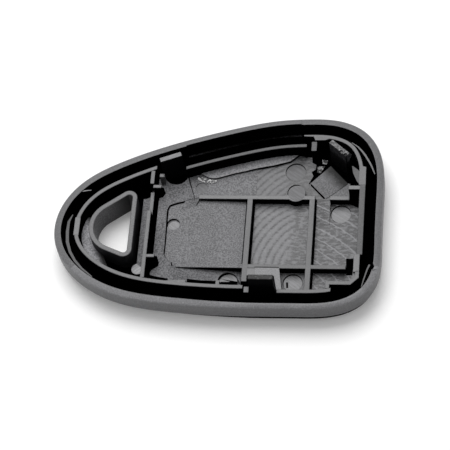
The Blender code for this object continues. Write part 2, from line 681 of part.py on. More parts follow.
def make_hook_frame():
    """The low frame round the front hook."""
    x, _ = front_hook_place()
    rear_y = FRONT_RIB_FACE_Y - SEAT_GAP
    bar_y = rear_y - FRAME_BAR_WIDTH
    start_x = LEFT_RIB_END_X + FRAME_START_GAP
    leg_x = x + FRONT_HOOK_WIDTH / 2 + FRAME_LEG_GAP
    end_y = outline_y(x, FRONT_RIGHT_WALL_INSET + WALL_THICKNESS, -1) + SEAT_GAP
    points = [
        (start_x, rear_y),
        (start_x, bar_y),
        (leg_x - FRAME_LEG_SPLAY, bar_y),
        (leg_x, end_y),
        (leg_x + FRAME_LEG_WIDTH, end_y),
        (leg_x + FRAME_LEG_WIDTH - FRAME_LEG_SPLAY, rear_y),
    ]
    member("hook_frame", [points], RIB_TOP)


def make_keyring_sleeve():
    member("keyring_sleeve", [eye_outline(EYE_SLEEVE_WALL), eye_outline(0)], WALL_TOP, 0)


def make_ejector_boss():
    pad = member("ejector_boss", [ejector_pad(0)], SHELF_LEVEL)
    limit(pad, cover_outline(WALL_BACK_INSET + SEAT_GAP))


def make_hook(name, place, width, turn):
    """A snap hook, whose origin is the middle of its foot and whose nose points away from the bay."""
    x, y = place
    height = HOOK_TOP - FOOT_LEVEL
    half = HOOK_THICKNESS / 2
    catch = height - HOOK_LEAD_IN - HOOK_NOSE_HEIGHT
    profile = [
        (-half, 0),
        (half, 0),
        (half, catch),
        (half + HOOK_NOSE, catch),
        (half + HOOK_NOSE, height - HOOK_LEAD_IN),
        (half, height),
        (-half, height),
    ]
    hook = member(name, [profile], width / 2, -width / 2)
    hook.location = (x, y, FOOT_LEVEL)
    hook.rotation_euler = (math.pi / 2, 0, math.radians(turn) + math.pi / 2)


clear_scene()
parts = new_collection("car_key_shell")
cutters = new_collection("cutters")
make_cover()
make_straight_members()
make_wall_stretches()
make_step_wall()
make_hook_frame()
make_keyring_sleeve()
make_ejector_boss()
make_hook("snap_hook_left", left_hook_place(), LEFT_HOOK_WIDTH, LEFT_HOOK_TURN)
make_hook("snap_hook_front", front_hook_place(), FRONT_HOOK_WIDTH, FRONT_HOOK_TURN)
make_hook("snap_hook_corner", corner_hook_place(), CORNER_HOOK_WIDTH, CORNER_HOOK_TURN)
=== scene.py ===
"""Looks of the open back half of a remote key shell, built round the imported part.

X runs from the keyring end to the wide end, Y from front to rear, Z up. Lengths in the tables and calls of
this script are in millimetres, and the helpers turn them into the scene's metres.
"""

import math

import bmesh
import bpy
import numpy as np
from mathutils import Matrix, Vector
from mathutils.geometry import convex_hull_2d


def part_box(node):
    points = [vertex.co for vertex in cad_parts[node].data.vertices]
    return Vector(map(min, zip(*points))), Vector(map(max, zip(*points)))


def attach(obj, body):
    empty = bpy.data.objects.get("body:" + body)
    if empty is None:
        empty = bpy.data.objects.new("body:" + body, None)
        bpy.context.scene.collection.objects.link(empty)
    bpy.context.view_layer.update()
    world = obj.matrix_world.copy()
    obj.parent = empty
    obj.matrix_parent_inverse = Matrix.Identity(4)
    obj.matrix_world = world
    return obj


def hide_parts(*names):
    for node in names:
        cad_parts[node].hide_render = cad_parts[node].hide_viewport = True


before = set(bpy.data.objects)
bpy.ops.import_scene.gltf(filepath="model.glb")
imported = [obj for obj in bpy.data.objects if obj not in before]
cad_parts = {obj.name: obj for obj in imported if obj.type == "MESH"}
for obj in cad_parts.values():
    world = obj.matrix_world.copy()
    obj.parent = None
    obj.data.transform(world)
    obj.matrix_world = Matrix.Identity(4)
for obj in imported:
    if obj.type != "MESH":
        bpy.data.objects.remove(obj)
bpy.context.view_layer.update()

MM = 0.001

# The cover's outline, as shares of its length and width, then its insets, widths and levels
COVER_LENGTH = 66.2
COVER_WIDTH = 44.3
OUTLINE_SHARES = (
    (-0.500, -0.117), (-0.482, 0.032), (-0.428, 0.147), (-0.323, 0.253), (-0.147, 0.364), (0.029, 0.445),
    (0.166, 0.490), (0.264, 0.500), (0.355, 0.490), (0.443, 0.420), (0.489, 0.294), (0.500, 0.090),
    (0.500, -0.158), (0.493, -0.312), (0.456, -0.415), (0.385, -0.479), (0.257, -0.499), (0.060, -0.499),
    (-0.136, -0.483), (-0.302, -0.436), (-0.415, -0.343), (-0.480, -0.226),
)
OUTLINE_STEPS = 352
TRAY_INSET = 0.04
RIM_TOP = 5.8
RIM_WIDTH = 1.52
RIM_EDGE_ROUND = 0.35
BACK_RADIUS = 2.8
SHELF = 3.2
SHELF_INSET = 5.25
REAR_FLOOR_LEVEL = 2.62
BAY_FLOOR_LEVEL = 1.52
DEEP = 1.3
FOOT = 1.05
WALL_TOP = 6.1

# Cutting tools that pass right through reach from one of these heights to the other
BELOW = -1
ABOVE = 9

# The upward part of a face's normal: less than this is an upright face, more than this a flat one
UPRIGHT = 0.3
FLAT = 0.9

# The rim's inner edge is this share narrower, and lies this much further forward at the rear and on the
# right. The shift sets in between two values of Y and of X
CHANNEL_DRAW = 0.004
CHANNEL_SHIFT = 0.28
REAR_SHIFT = (-4, 4)
RIGHT_SHIFT = (-6, 8)

# Levels of the notch in the rim, the lips of flash and the torn corner
NOTCH_LEVEL = 4.4
LIP_FOOT = DEEP - 0.1
LIP_TOP = 4.6
TORN_TOP = 2.6

# Heights where a finish starts or ends: the painted highlight on the rim's rounded edge, the channel's
# painted shade, the painted shade below the shelf, the scuffs and painted shade inside the corner hook, and
# the tips of hooks
RIM_HIGHLIGHT_FROM = 5.4
CHANNEL_TOP = 5.65
SHADE_LEVEL = 1.45
HOOK_SCUFFS_FROM = 5.5
HOOK_TIP_FROM = 8

# Widths of the rounding along edges
COVER_ROUNDING = 0.12
SLEEVE_ROUNDING = 0.18
SHELF_ROUNDING = 0.05
WALL_ROUNDING = 0.10
RIB_ROUNDING = 0.09
HOOK_ROUNDING = 0.10

# The keyring eye: a large arc at the nose and a straight side with a small arc at each end
EYE_CENTRE = (-19.9, -4.0)
EYE_RADIUS = 5.1
EYE_SIDE_X = -18.4
EYE_CORNERS_Y = (-9.4, 2.6)
EYE_CORNER_RADIUS = 0.7
EYE_MIDDLE = (-20.5, -3.4)
SLEEVE_WALL = 1.0
SLEEVE_GAP = 0.5
SLEEVE_FOOT = 0.03

# Round marks of ejector pins: the depth of their pits, the groove round them, and the pad on the rear rib
PIT_DEPTH = 0.2
GROOVE_WIDTH = 0.09
GROOVE_OFFSET = (0.06, -0.08)
RIB_PAD = (15.35, 5.65)
RIB_PAD_RADIUS = 1.74
RIB_PAD_GROOVE = 1.92

# How much further along X the ejector boss stands than its CAD form
BOSS_SHIFT = 0.35


# Modelling by hand

def deselect():
    bpy.ops.object.select_all(action="DESELECT")


def activate(obj):
    deselect()
    obj.select_set(True)
    bpy.context.view_layer.objects.active = obj


def edit(obj, kind="FACE"):
    activate(obj)
    bpy.ops.object.mode_set(mode="EDIT")
    bpy.ops.mesh.select_mode(type=kind)
    bpy.ops.mesh.select_all(action="DESELECT")


def leave_edit():
    bpy.ops.object.mode_set(mode="OBJECT")


def pick(obj, kind, test):
    """In edit mode, selects the faces or edges that pass a test, and nothing else."""
    bpy.ops.mesh.select_all(action="DESELECT")
    form = bmesh.from_edit_mesh(obj.data)
    for item in getattr(form, kind):
        if test(item):
            item.select_set(True)
    bmesh.update_edit_mesh(obj.data)


def move_up(distance):
    bpy.ops.mesh.extrude_region_move(TRANSFORM_OT_translate={"value": (0, 0, distance * MM)})


def plate(name, points, low, high):
    """A flat slab: the rim of a disc is laid along the points, and its face is extruded up."""
    deselect()
    bpy.ops.mesh.primitive_circle_add(vertices=len(points), radius=MM, fill_type="NGON")
    obj = bpy.context.object
    obj.name = name
    for vertex, (x, y) in zip(obj.data.vertices, points):
        vertex.co = (x * MM, y * MM, low * MM)
    edit(obj)
    bpy.ops.mesh.select_all(action="SELECT")
    move_up(high - low)
    bpy.ops.mesh.select_all(action="SELECT")
    bpy.ops.mesh.normals_make_consistent(inside=False)
    leave_edit()
    return obj


def apply(obj, modifier):
    activate(obj)
    bpy.ops.object.modifier_apply(modifier=modifier.name)


def cut(obj, tool):
    """Cuts a piece with a tool, which is used up."""
    modifier = obj.modifiers.new("cut", "BOOLEAN")
    modifier.operation = "DIFFERENCE"
    modifier.solver = "EXACT"
    modifier.object = tool
    apply(obj, modifier)
    bpy.data.objects.remove(tool, do_unlink=True)


def keep_side(obj, x=None, y=None, side=1):
    """Cuts a piece along a line of X or Y and keeps what lies above it (1) or below it (-1)."""
    edit(obj)
    bpy.ops.mesh.select_all(action="SELECT")
    place = (x * MM, 0, 0) if x is not None else (0, y * MM, 0)
    normal = (1, 0, 0) if x is not None else (0, 1, 0)
    bpy.ops.mesh.bisect(
        plane_co=place, plane_no=normal, use_fill=True, clear_inner=side > 0, clear_outer=side < 0
    )
    leave_edit()


def soften(obj, width, segments=2, angle=35):
    """Rounds all edges that are sharper than an angle, and shades the rest smooth."""
    edit(obj, "VERT")
    bpy.ops.mesh.select_all(action="SELECT")
    bpy.ops.mesh.remove_doubles(threshold=0.004 * MM)
    leave_edit()
    modifier = obj.modifiers.new("soften", "BEVEL")
    modifier.limit_method = "ANGLE"
    modifier.angle_limit = math.radians(angle)
    modifier.width = width * MM
    modifier.segments = segments
    modifier.use_clamp_overlap = False
    apply(obj, modifier)
    bpy.ops.object.shade_smooth_by_angle(angle=math.radians(50))
    weighing = obj.modifiers.new("flat_faces", "WEIGHTED_NORMAL")
    weighing.keep_sharp = True
    weighing.weight = 100
    apply(obj, weighing)


# Flat outlines

def smooth_loop(points, count):
    """A closed cubic spline through the points, at even steps along their chords."""
    points = np.asarray(points, float)
    knots = len(points)
    step = np.linalg.norm(np.roll(points, -1, axis=0) - points, axis=1)
    before = np.roll(step, 1)
    system = np.zeros((knots, knots))
    slope = (np.roll(points, -1, axis=0) - points) / step[:, None]
    for i in range(knots):
        system[i, i - 1] = before[i] / 6
        system[i, i] = (before[i] + step[i]) / 3
        system[i, (i + 1) % knots] = step[i] / 6
    bend = np.linalg.solve(system, slope - np.roll(slope, 1, axis=0))
    reach = np.concatenate([[0], np.cumsum(step)])
    loop = []
    for place in np.linspace(0, reach[-1], count, endpoint=False):
        i = min(int(np.searchsorted(reach, place, side="right")) - 1, knots - 1)
        after = (i + 1) % knots
        b = (place - reach[i]) / step[i]
        a = 1 - b
        curve = (a**3 - a) * bend[i] + (b**3 - b) * bend[after]
        loop.append(a * points[i] + b * points[after] + curve * step[i] ** 2 / 6)
    return np.array(loop)


COVER_LOOP = smooth_loop([(x * COVER_LENGTH, y * COVER_WIDTH) for x, y in OUTLINE_SHARES], OUTLINE_STEPS)


def outline(inset):
    """The cover's outline drawn in by a distance."""
    along = np.roll(COVER_LOOP, -1, axis=0) - np.roll(COVER_LOOP, 1, axis=0)
    along /= np.linalg.norm(along, axis=1)[:, None]
    return COVER_LOOP + inset * np.stack([along[:, 1], -along[:, 0]], axis=1)


def ring_of(x, y, radius, count=48):
    turns = [2 * math.pi * i / count for i in range(count)]
    return [(x + radius * math.cos(turn), y + radius * math.sin(turn)) for turn in turns]


def rectangle(x0, x1, y0, y1):
    return [(x0, y0), (x1, y0), (x1, y1), (x0, y1)]


def eye_outline(wall):
    """The outline of the keyring eye, grown by a wall."""
    points = [(x, y) for x, y in ring_of(*EYE_CENTRE, EYE_RADIUS + wall, 120) if x < EYE_SIDE_X]
    for y in EYE_CORNERS_Y:
        points += ring_of(EYE_SIDE_X, y, EYE_CORNER_RADIUS + wall, 48)
    return [points[i] for i in convex_hull_2d(points)]


def band(name, outer, inner, low, high):
    """A closed band along the cover's outline, between two insets."""
    obj = plate(name, outline(outer), low, high)
    cut(obj, plate("band_core", outline(inner), low - 1, high + 1))
    return obj


# Shader maths

class Amount:
    """A number that changes over a surface, for maths written as plain sums."""

    def __init__(self, shading, socket):
        self.shading = shading
        self.socket = socket

    def worked(self, operation, *values):
        node = self.shading.node("ShaderNodeMath", {"operation": operation}, dict(enumerate(values)))
        return Amount(self.shading, node.outputs[0])

    def __add__(self, other):
        return self.worked("ADD", self, other)

    def __radd__(self, other):
        return self.worked("ADD", other, self)

    def __sub__(self, other):
        return self.worked("SUBTRACT", self, other)

    def __rsub__(self, other):
        return self.worked("SUBTRACT", other, self)

    def __mul__(self, other):
        return self.worked("MULTIPLY", self, other)

    def __rmul__(self, other):
        return self.worked("MULTIPLY", other, self)

    def __pow__(self, other):
        return self.worked("POWER", self, other)


class Shading:
    """A tree of shader nodes, to which nodes are added one by one."""

    def __init__(self, tree):
        self.tree = tree

    def node(self, kind, settings=None, sockets=None):
        node = self.tree.nodes.new(kind)
        for key, value in (settings or {}).items():
            setattr(node, key, value)
        for key, value in (sockets or {}).items():
            self.feed(node.inputs[key], value)
        return node

    def feed(self, target, value):
        value = getattr(value, "socket", value)
        if isinstance(value, bpy.types.NodeSocket):
            self.tree.links.new(value, target)
        else:
            target.default_value = value

    def amount(self, kind, settings=None, sockets=None, output=0):
        return Amount(self, self.node(kind, settings, sockets).outputs[output])

    def between(self, amount, low, high, to_low=0.0, to_high=1.0):
        """An amount mapped from one range to another, kept within it and eased at its ends."""
        sockets = {"Value": amount, "From Min": low, "From Max": high, "To Min": to_low, "To Max": to_high}
        return self.amount("ShaderNodeMapRange", {"interpolation_type": "SMOOTHSTEP"}, sockets, "Result")

    def backdrop_share(self):
        """1 where a ray shows the background: seen by the camera, in a mirror or through glass."""
        path = self.node("ShaderNodeLightPath").outputs
        camera, glossy, transmission = (
            Amount(self, path[kind]) for kind in ("Is Camera Ray", "Is Glossy Ray", "Is Transmission Ray")
        )
        return self.between(camera + glossy + transmission, 0, 1)


class Finish(Shading):
    """A material, whose nodes are added round its shader."""

    def __init__(self, name):
        self.material = bpy.data.materials.new(name)
        self.material.use_nodes = True
        super().__init__(self.material.node_tree)
        self.shader = self.tree.nodes["Principled BSDF"]
        self.place = self.node("ShaderNodeTexCoord").outputs["Object"]

    def along(self, axis):
        """The place on one axis, in millimetres."""
        parts = self.node("ShaderNodeSeparateXYZ", {}, {"Vector": self.place})
        return Amount(self, parts.outputs[axis]) * (1 / MM)

    def moved(self, place, turn, scale):
        """Object coordinates from a place in millimetres, along axes turned by degrees, then scaled."""
        centre = self.node("ShaderNodeVectorMath", {"operation": "SUBTRACT"},
                           {0: self.place, 1: Vector(place) * MM}).outputs[0]
        back = (0, 0, -math.radians(turn))
        turned = self.node("ShaderNodeMapping", {}, {"Vector": centre, "Rotation": back}).outputs[0]
        return self.node("ShaderNodeVectorMath", {"operation": "MULTIPLY"}, {0: turned, 1: scale}).outputs[0]

    def distance(self, x, y):
        """How far a point lies from an upright axis, in millimetres."""
        level = self.moved((x, y, 0), 0, (1, 1, 0))
        length = self.node("ShaderNodeVectorMath", {"operation": "LENGTH"}, {0: level}).outputs["Value"]
        return Amount(self, length) * (1 / MM)

    def noise(self, size, detail=2.0, roughness=0.5, turn=0, stretch=(1, 1, 1)):
        """Noise from 0 to 1 whose spots are about a size in millimetres."""
        place = self.moved((0, 0, 0), turn, stretch)
        sockets = {"Vector": place, "Scale": 1 / (size * MM), "Detail": detail, "Roughness": roughness}
        return self.amount("ShaderNodeTexNoise", {}, sockets, "Fac")

    def colour(self, share, first, second):
        """A mix of two colours, each of which may be a socket."""
        ends = [(*end, 1) if isinstance(end, (tuple, list)) else end for end in (first, second)]
        node = self.node("ShaderNodeMix", {"data_type": "RGBA"}, {0: share, 6: ends[0], 7: ends[1]})
        return node.outputs[2]

    def bumped(self, height, distance, under=None):
        """A surface normal from heights, where a height of 1 stands up by a distance in millimetres."""
        sockets = {"Height": height, "Distance": distance * MM, "Strength": 1.0}
        if under is not None:
            sockets["Normal"] = under
        return self.node("ShaderNodeBump", {}, sockets).outputs[0]

    def surface(self, **sockets):
        for key, value in sockets.items():
            self.feed(self.shader.inputs[key.replace("_", " ")], value)


def tinted(tone, factor):
    return tuple(min(1.0, value * factor) for value in tone)


def grained(finish, tone, contrast):
    """Uneven colour of moulded plastic: fine grain, broad clouds and a few pale specks, with its grain."""
    fine = finish.noise(0.28, 2.5, 0.62)
    broad = finish.noise(4.5, 3.0, 0.55)
    specks = finish.between(finish.noise(0.42, 1.0, 0.4), 0.64, 0.74)
    share = finish.between(fine, 0.36, 0.64) * 0.8 + finish.between(broad, 0.3, 0.7) * 0.2
    plain = finish.colour(share, tinted(tone, 1 - contrast), tinted(tone, 1 + contrast))
    return finish.colour(specks * 0.4, plain, tinted(tone, 1.9)), fine, broad


def plastic_finish(name, tone, roughness, grain, sheen=0.5, contrast=0.25):
    """Moulded black plastic: fine spark-eroded grain, uneven gloss and a few pale specks."""
    finish = Finish(name)
    colour, fine, broad = grained(finish, tone, contrast)
    finish.surface(
        Base_Color=colour,
        Roughness=(fine - 0.5) * 0.16 + (broad - 0.5) * 0.14 + roughness,
        Specular_IOR_Level=sheen,
        Normal=finish.bumped(fine, grain),
    )
    return finish.material


def shelf_finish(name, tone, roughness, grain):
    """The shelf's grained floor, with painted light before the keyring sleeve and painted shade beside it."""
    finish = Finish(name)
    colour, fine, broad = grained(finish, tinted(tone, 1.25), 0.58)
    # A much paler copy of the floor as painted light, and a near-black one as painted shade
    pale = grained(finish, tinted(tone, 2.9), 0.5)[0]
    slant = finish.along(0) * 0.94 + finish.along(1) * 0.33 + (broad - 0.5) * 1.5
    painted_light_crescent = finish.between(slant, -26.3, -24.8, 1, 0)
    bay = finish.between(finish.along(0), -17.2, -16.7)
    shaded = finish.colour(painted_light_crescent, tinted(tone, 0.02), pale)
    finish.surface(
        Base_Color=finish.colour(bay, shaded, colour),
        Roughness=(fine - 0.5) * 0.2 + roughness,
        Specular_IOR_Level=0.15,
        Normal=finish.bumped(fine, grain),
    )
    return finish.material


def machined_finish(
    name, tone, roughness, centre, start, pitch, narrow, sweep, teeth, edge, waver, ends, reach_x
):
    """A floor as a ball cutter left it in the mould: ridges round a centre, with ripples between them.

    The ridges lie a pitch apart, counted from a start radius, and waver. Sweep is how strong they are, and
    teeth how strong the ripples. The ridges show outside the edge radius and left of reach_x. The tone runs
    from the first of the ends to the second.
    """
    finish = Finish(name)
    reach = finish.distance(*centre)
    broad = finish.noise(2.4, 2.0, 0.5)
    turns = (reach - start) * (2 * math.pi / pitch) + broad * waver
    ridge = (finish.amount("ShaderNodeMath", {"operation": "COSINE"}, {0: turns}) * 0.5 + 0.5) ** narrow
    clear = finish.between(reach + broad * 4.0, edge, edge + 3.0)
    clear = clear * finish.between(finish.along(0) + broad * 3.0, reach_x, reach_x + 3.0, 1, 0)
    fine = finish.between(finish.noise(0.34, 2.5, 0.62), 0.36, 0.64)
    tooth = finish.between(finish.noise(0.48, 2.0, 0.55, stretch=(0.45, 1, 1)), 0.38, 0.62)
    marks = ridge * clear * sweep + tooth * (1 - clear * 0.5) * teeth + fine * 0.5
    pale = finish.between(marks, 0.1, 0.4 + 0.5 * (sweep + teeth))
    finish.surface(
        Base_Color=finish.colour(pale, tinted(tone, ends[0]), tinted(tone, ends[1])),
        Roughness=(fine - 0.5) * 0.1 + roughness,
        Specular_IOR_Level=0.5,
        Normal=finish.bumped(ridge * clear, 0.05, finish.bumped(tooth * 0.6 + fine * 0.4, 0.04)),
    )
    return finish.material


def scratched_finish(name, tone, roughness, turn, sheen=0.5):
    """The face of an ejector pin: long scratches one way across it."""
    finish = Finish(name)
    streaks = finish.noise(0.42, 3.0, 0.6, turn=turn, stretch=(0.15, 1, 1))
    fine = finish.noise(0.22, 2.0, 0.5)
    lines = finish.between(streaks, 0.38, 0.64)
    finish.surface(
        Base_Color=finish.colour(lines * 0.7 + fine * 0.3, tinted(tone, 0.55), tinted(tone, 1.5)),
        Roughness=(fine - 0.5) * 0.15 + lines * 0.1 + roughness,
        Specular_IOR_Level=sheen,
        Normal=finish.bumped(lines * 0.7 + fine * 0.3, 0.02),
    )
    return finish.material


def broken_finish(name, dark, light, size, low, high, height):
    """Pale marks scattered over a dark ground: burrs on torn plastic, and painted glints on the patch of
    specks.
    """
    finish = Finish(name)
    burrs = finish.between(finish.noise(size, 3.0, 0.65), low, high)
    finish.surface(
        Base_Color=finish.colour(burrs, dark, light),
        Roughness=0.5 - burrs * 0.15,
        Specular_IOR_Level=0.3,
        Normal=finish.bumped(burrs, height),
    )
    return finish.material


def fading_finish(name, dark, light, low, high):
    """The inside of a hook: pale scuffs at its tip, and painted shade that blackens it further down."""
    finish = Finish(name)
    scuffs = finish.between(finish.noise(0.5, 3.0, 0.65), 0.25, 0.75)
    lit_near_tip = finish.between(finish.along(2), low, high)
    finish.surface(
        Base_Color=finish.colour(scuffs * lit_near_tip, dark, light),
        Roughness=0.5 - scuffs * 0.15,
        Specular_IOR_Level=0.1,
        Normal=finish.bumped(scuffs, 0.04),
    )
    return finish.material


def shaded_finish(name, tone, way, low, high, ragged, least):
    """Moulded plastic with painted shade that sets in along a slanting way."""
    finish = Finish(name)
    colour, fine, broad = grained(finish, tone, 0.4)
    slant = finish.along(0) * way[0] + finish.along(1) * way[1]
    uneven = (broad - 0.5) * 3.0 * ragged + (fine - 0.5) * 2.0 * ragged
    lit = finish.between(slant + uneven, low, high, 1, 0)
    finish.surface(
        Base_Color=finish.colour(lit, tinted(tone, least), colour),
        Roughness=(fine - 0.5) * 0.1 + 0.5,
        Specular_IOR_Level=0.25,
        Normal=finish.bumped(fine, 0.012),
    )
    return finish.material


# One black plastic throughout. Finishes below whose tone is PLASTIC or FLOOR made paler or darker through
# tinted are lit and shaded copies of it: painted light and shade, besides their grain and marks.
PLASTIC = (0.096, 0.096, 0.100)
FLOOR = (0.100, 0.100, 0.105)

GRAINED = plastic_finish("grained_black_plastic", PLASTIC, 0.50, 0.018)
# Paler copy of the plastic: a painted highlight along the rim's rounded outer edge.
RIM_EDGE_PAINTED_HIGHLIGHT = plastic_finish("rim_edge_painted_highlight_plastic", tinted(PLASTIC, 1.6), 0.46, 0.012, 0.5, 0.2)
RIB_FACE = plastic_finish("rib_plastic", tinted(PLASTIC, 1.05), 0.46, 0.010, 0.55, 0.15)
WALL_TOP_FACE = plastic_finish("wall_top_plastic", tinted(PLASTIC, 0.90), 0.46, 0.012, 0.5, 0.18)
FLOOR_FACE = shelf_finish("grained_floor_painted_light_and_shade_plastic", FLOOR, 0.52, 0.03)
# Paler copy of the floor: painted light on the floors sunk into the shelf.
RECESS_FACE = plastic_finish("recess_floor_plastic", tinted(FLOOR, 1.25), 0.52, 0.03, 0.3, 0.6)
PLAIN_FLOOR = plastic_finish("plain_floor_plastic", FLOOR, 0.52, 0.03, 0.4, 0.42)
# Near-black without sheen: painted shade for the channel, upright sides and floors deep below the shelf
SHADED = plastic_finish("channel_painted_shade_plastic", (0.0005, 0.0005, 0.0006), 0.5, 0.004, 0.0)
# Darker copy of the plastic: painted shade on the outer sides of the keyring sleeve.
SLEEVE_SIDE_PAINTED_SHADE = plastic_finish("sleeve_side_painted_shade_plastic", (0.016, 0.016, 0.018), 0.5, 0.01, 0.1, 0.3)
# Near-black: painted shade on the hooks' bodies.
HOOK_BODY_PAINTED_SHADE = plastic_finish("hook_plastic", (0.0015, 0.0015, 0.0018), 0.45, 0.006, 0.015)
HOOK_TOP = broken_finish("hook_top_plastic", (0.06, 0.06, 0.062), (0.21, 0.21, 0.215), 0.45, 0.36, 0.6, 0.08)
# Scuffs near the tip, and painted shade that turns the corner hook's inner face near-black below it.
HOOK_INNER = fading_finish("hook_inner_plastic", (0.0015, 0.0015, 0.0018), (0.05, 0.05, 0.055), 6.1, 6.9)
FRONT_HOOK_TOP = broken_finish(
    "front_hook_top_plastic", (0.004, 0.004, 0.004), (0.05, 0.05, 0.05), 0.7, 0.46, 0.66, 0.05
)
CELL_FLOOR = machined_finish(
    "cell_bay_floor_plastic", tinted(FLOOR, 0.93), 0.47, centre=(22.4, -11.63), start=21.89, pitch=1.38,
    narrow=0.6, sweep=1.0, teeth=0.8, edge=9.0, waver=0.9, ends=(0.42, 1.62), reach_x=14.5,
)
RIGHT_FLOOR = machined_finish(
    "right_bay_floor_plastic", FLOOR, 0.5, centre=(9.17, -24.77), start=28.04, pitch=2.2,
    narrow=26.0, sweep=1.6, teeth=1.7, edge=8.0, waver=1.5, ends=(0.4, 2.3), reach_x=40.0,
)
REAR_FLOOR = machined_finish(
    "rear_floor_plastic", tinted(FLOOR, 0.72), 0.47, centre=(20.19, -1.9), start=17.8, pitch=1.3,
    narrow=0.7, sweep=1.3, teeth=0.6, edge=8.0, waver=0.9, ends=(0.5, 1.65), reach_x=13.5,
)
# Paler than the floor: a painted sheen on the pin faces, besides their real scratches.
PIN_FACE = scratched_finish("pin_face_plastic", (0.148, 0.148, 0.155), 0.42, -38, 0.6)
DULL_PIN_FACE = scratched_finish("dull_pin_face_plastic", tinted(FLOOR, 0.95), 0.5, -38)
# Paler still: a painted sheen on the ejector boss's face, besides its real scratches.
BOSS_FACE = scratched_finish("boss_face_plastic", (0.24, 0.24, 0.25), 0.42, 40, 0.6)
# Painted shadow of the corner hook, darkening the pad towards its upper right.
PAD_FACE = shaded_finish("rear_corner_pad_plastic", tinted(FLOOR, 1.15), (0.75, 0.6), 20.9, 23.3, 1.3, 0.02)
# Painted shade across the inside of the keyring sleeve's bore.
SLEEVE_INNER = shaded_finish(
    "sleeve_inner_plastic", tinted(PLASTIC, 1.1), (0.95, 0.3), -23.5, -16.5, 0.3, 0.22
)
# Much paler copy of the floor: painted light on the strip behind the sunk floors.
STRIP_PAINTED_LIGHT = plastic_finish("strip_painted_light_plastic", tinted(FLOOR, 2.4), 0.5, 0.03, 0.4, 0.45)
# Darker copy of the plastic: painted shade on the tops of the rear and right walls, the right wall's web and
# the corner post.
DARKER_WALL_TOP = plastic_finish("darker_wall_top_plastic", tinted(PLASTIC, 0.62), 0.5, 0.012, 0.4, 0.3)
# Paler copy of the plastic: painted light on the hook frame's top.
FRAME_FACE = plastic_finish("hook_frame_plastic", tinted(PLASTIC, 1.55), 0.45, 0.012, 0.5, 0.25)
# Darker copy of the plastic: painted shade on the lips down in the channel.
LIP_FACE = plastic_finish("lip_plastic", tinted(PLASTIC, 0.6), 0.5, 0.01, 0.4, 0.3)
LEFT_HOOK_TOP = scratched_finish("left_hook_top_plastic", (0.14, 0.14, 0.145), 0.45, 35)
# Darker copy of the plastic: painted shade on the cell ribs' tops.
CELL_RIB_FACE = plastic_finish("cell_rib_plastic", tinted(PLASTIC, 0.82), 0.48, 0.012, 0.5, 0.2)
# Darker copy of the plastic: painted shade on the sides of the left hook's post, less black than other sides.
POST_SIDE = plastic_finish("post_side_plastic", tinted(PLASTIC, 0.5), 0.5, 0.01, 0.2, 0.35)
BURRS = broken_finish("torn_corner_plastic", (0.004, 0.004, 0.004), (0.2, 0.2, 0.205), 0.6, 0.47, 0.55, 0.2)
# Painted glints: near-white specks of light on the floor behind the rear rib.
PAINTED_GLINTS = broken_finish("bright_specks_plastic", FLOOR, (0.85, 0.85, 0.85), 0.5, 0.48, 0.58, 0.1)
# Near-black ground with faint paler dashes: painted shade in the channel, and painted light catching a thin
# ledge.
SEAM = broken_finish("seam_plastic", (0.003, 0.003, 0.003), (0.03, 0.03, 0.034), 1.1, 0.48, 0.58, 0.02)


# Putting pieces in place

def done(obj, *nodes, body="shell", slot="shell_plastic"):
    """Gives a finished piece its body, and hides the CAD nodes that it stands for. The slot is not used."""
    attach(obj, body)
    if nodes:
        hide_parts(*nodes)


def finish_faces(obj, finish, test):
    """Gives the faces that pass a test another material."""
    obj.data.materials.append(finish)
    slot = len(obj.data.materials) - 1
    for face in obj.data.polygons:
        if test(face):
            face.material_index = slot


def merged_copy(node, name, reach=(0, 0, 0, 0)):
    """A copy of a CAD node with its triangles joined, and its low and high ends in X and Y drawn out."""
    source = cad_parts[node]
    obj = bpy.data.objects.new(name, source.data.copy())
    bpy.context.scene.collection.objects.link(obj)
    obj.data.materials.clear()
    edit(obj, "VERT")
    bpy.ops.mesh.select_all(action="SELECT")
    bpy.ops.mesh.remove_doubles(threshold=0.002 * MM)
    bpy.ops.mesh.dissolve_limited(angle_limit=math.radians(1))
    leave_edit()
    low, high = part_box(node)
    near = 0.05 * MM
    for vertex in obj.data.vertices:
        x, y, _ = vertex.co
        if x < low.x + near:
            vertex.co.x -= reach[0] * MM
        if x > high.x - near:
            vertex.co.x += reach[1] * MM
        if y < low.y + near:
            vertex.co.y -= reach[2] * MM
        if y > high.y - near:
            vertex.co.y += reach[3] * MM
    return obj


def upright(face):
    return abs(face.normal.z) < UPRIGHT


def flat(face):
    return face.normal.z > FLAT


def dark_sides(obj, top, side=SHADED):
    """Gives a piece its top finish, and its upright faces the finish of its sides, by default the near-black
    painted shade.
    """
    obj.data.materials.append(top)
    finish_faces(obj, side, upright)


# Cover: rim, channel and back

def part_way(value, low, high):
    """How far a value is on its way from low to high, from 0 to 1."""
    return min(1, max(0, (value - low) / (high - low)))


def draw_channel_forward(tray):
    """Moves the rim's selected inner edge, so that the rim is wider at the rear than at the front."""
    form = bmesh.from_edit_mesh(tray.data)
    for vertex in form.verts:
        if vertex.select:
            rear = part_way(vertex.co.y / MM, *REAR_SHIFT)
            right = part_way(vertex.co.x / MM, *RIGHT_SHIFT)
            vertex.co.y -= CHANNEL_SHIFT * MM * max(rear, right)
            vertex.co.x *= 1 - CHANNEL_DRAW
    bmesh.update_edit_mesh(tray.data)


def in_the_channel(face):
    """Whether a face lies inside the rim, below its rounded edge."""
    inside = MM < face.center.z < CHANNEL_TOP * MM
    middle = Vector((face.center.x / COVER_LENGTH, face.center.y / COVER_WIDTH))
    return inside and (face.normal.z > 0.5 or face.normal.xy.dot(middle) < 0)


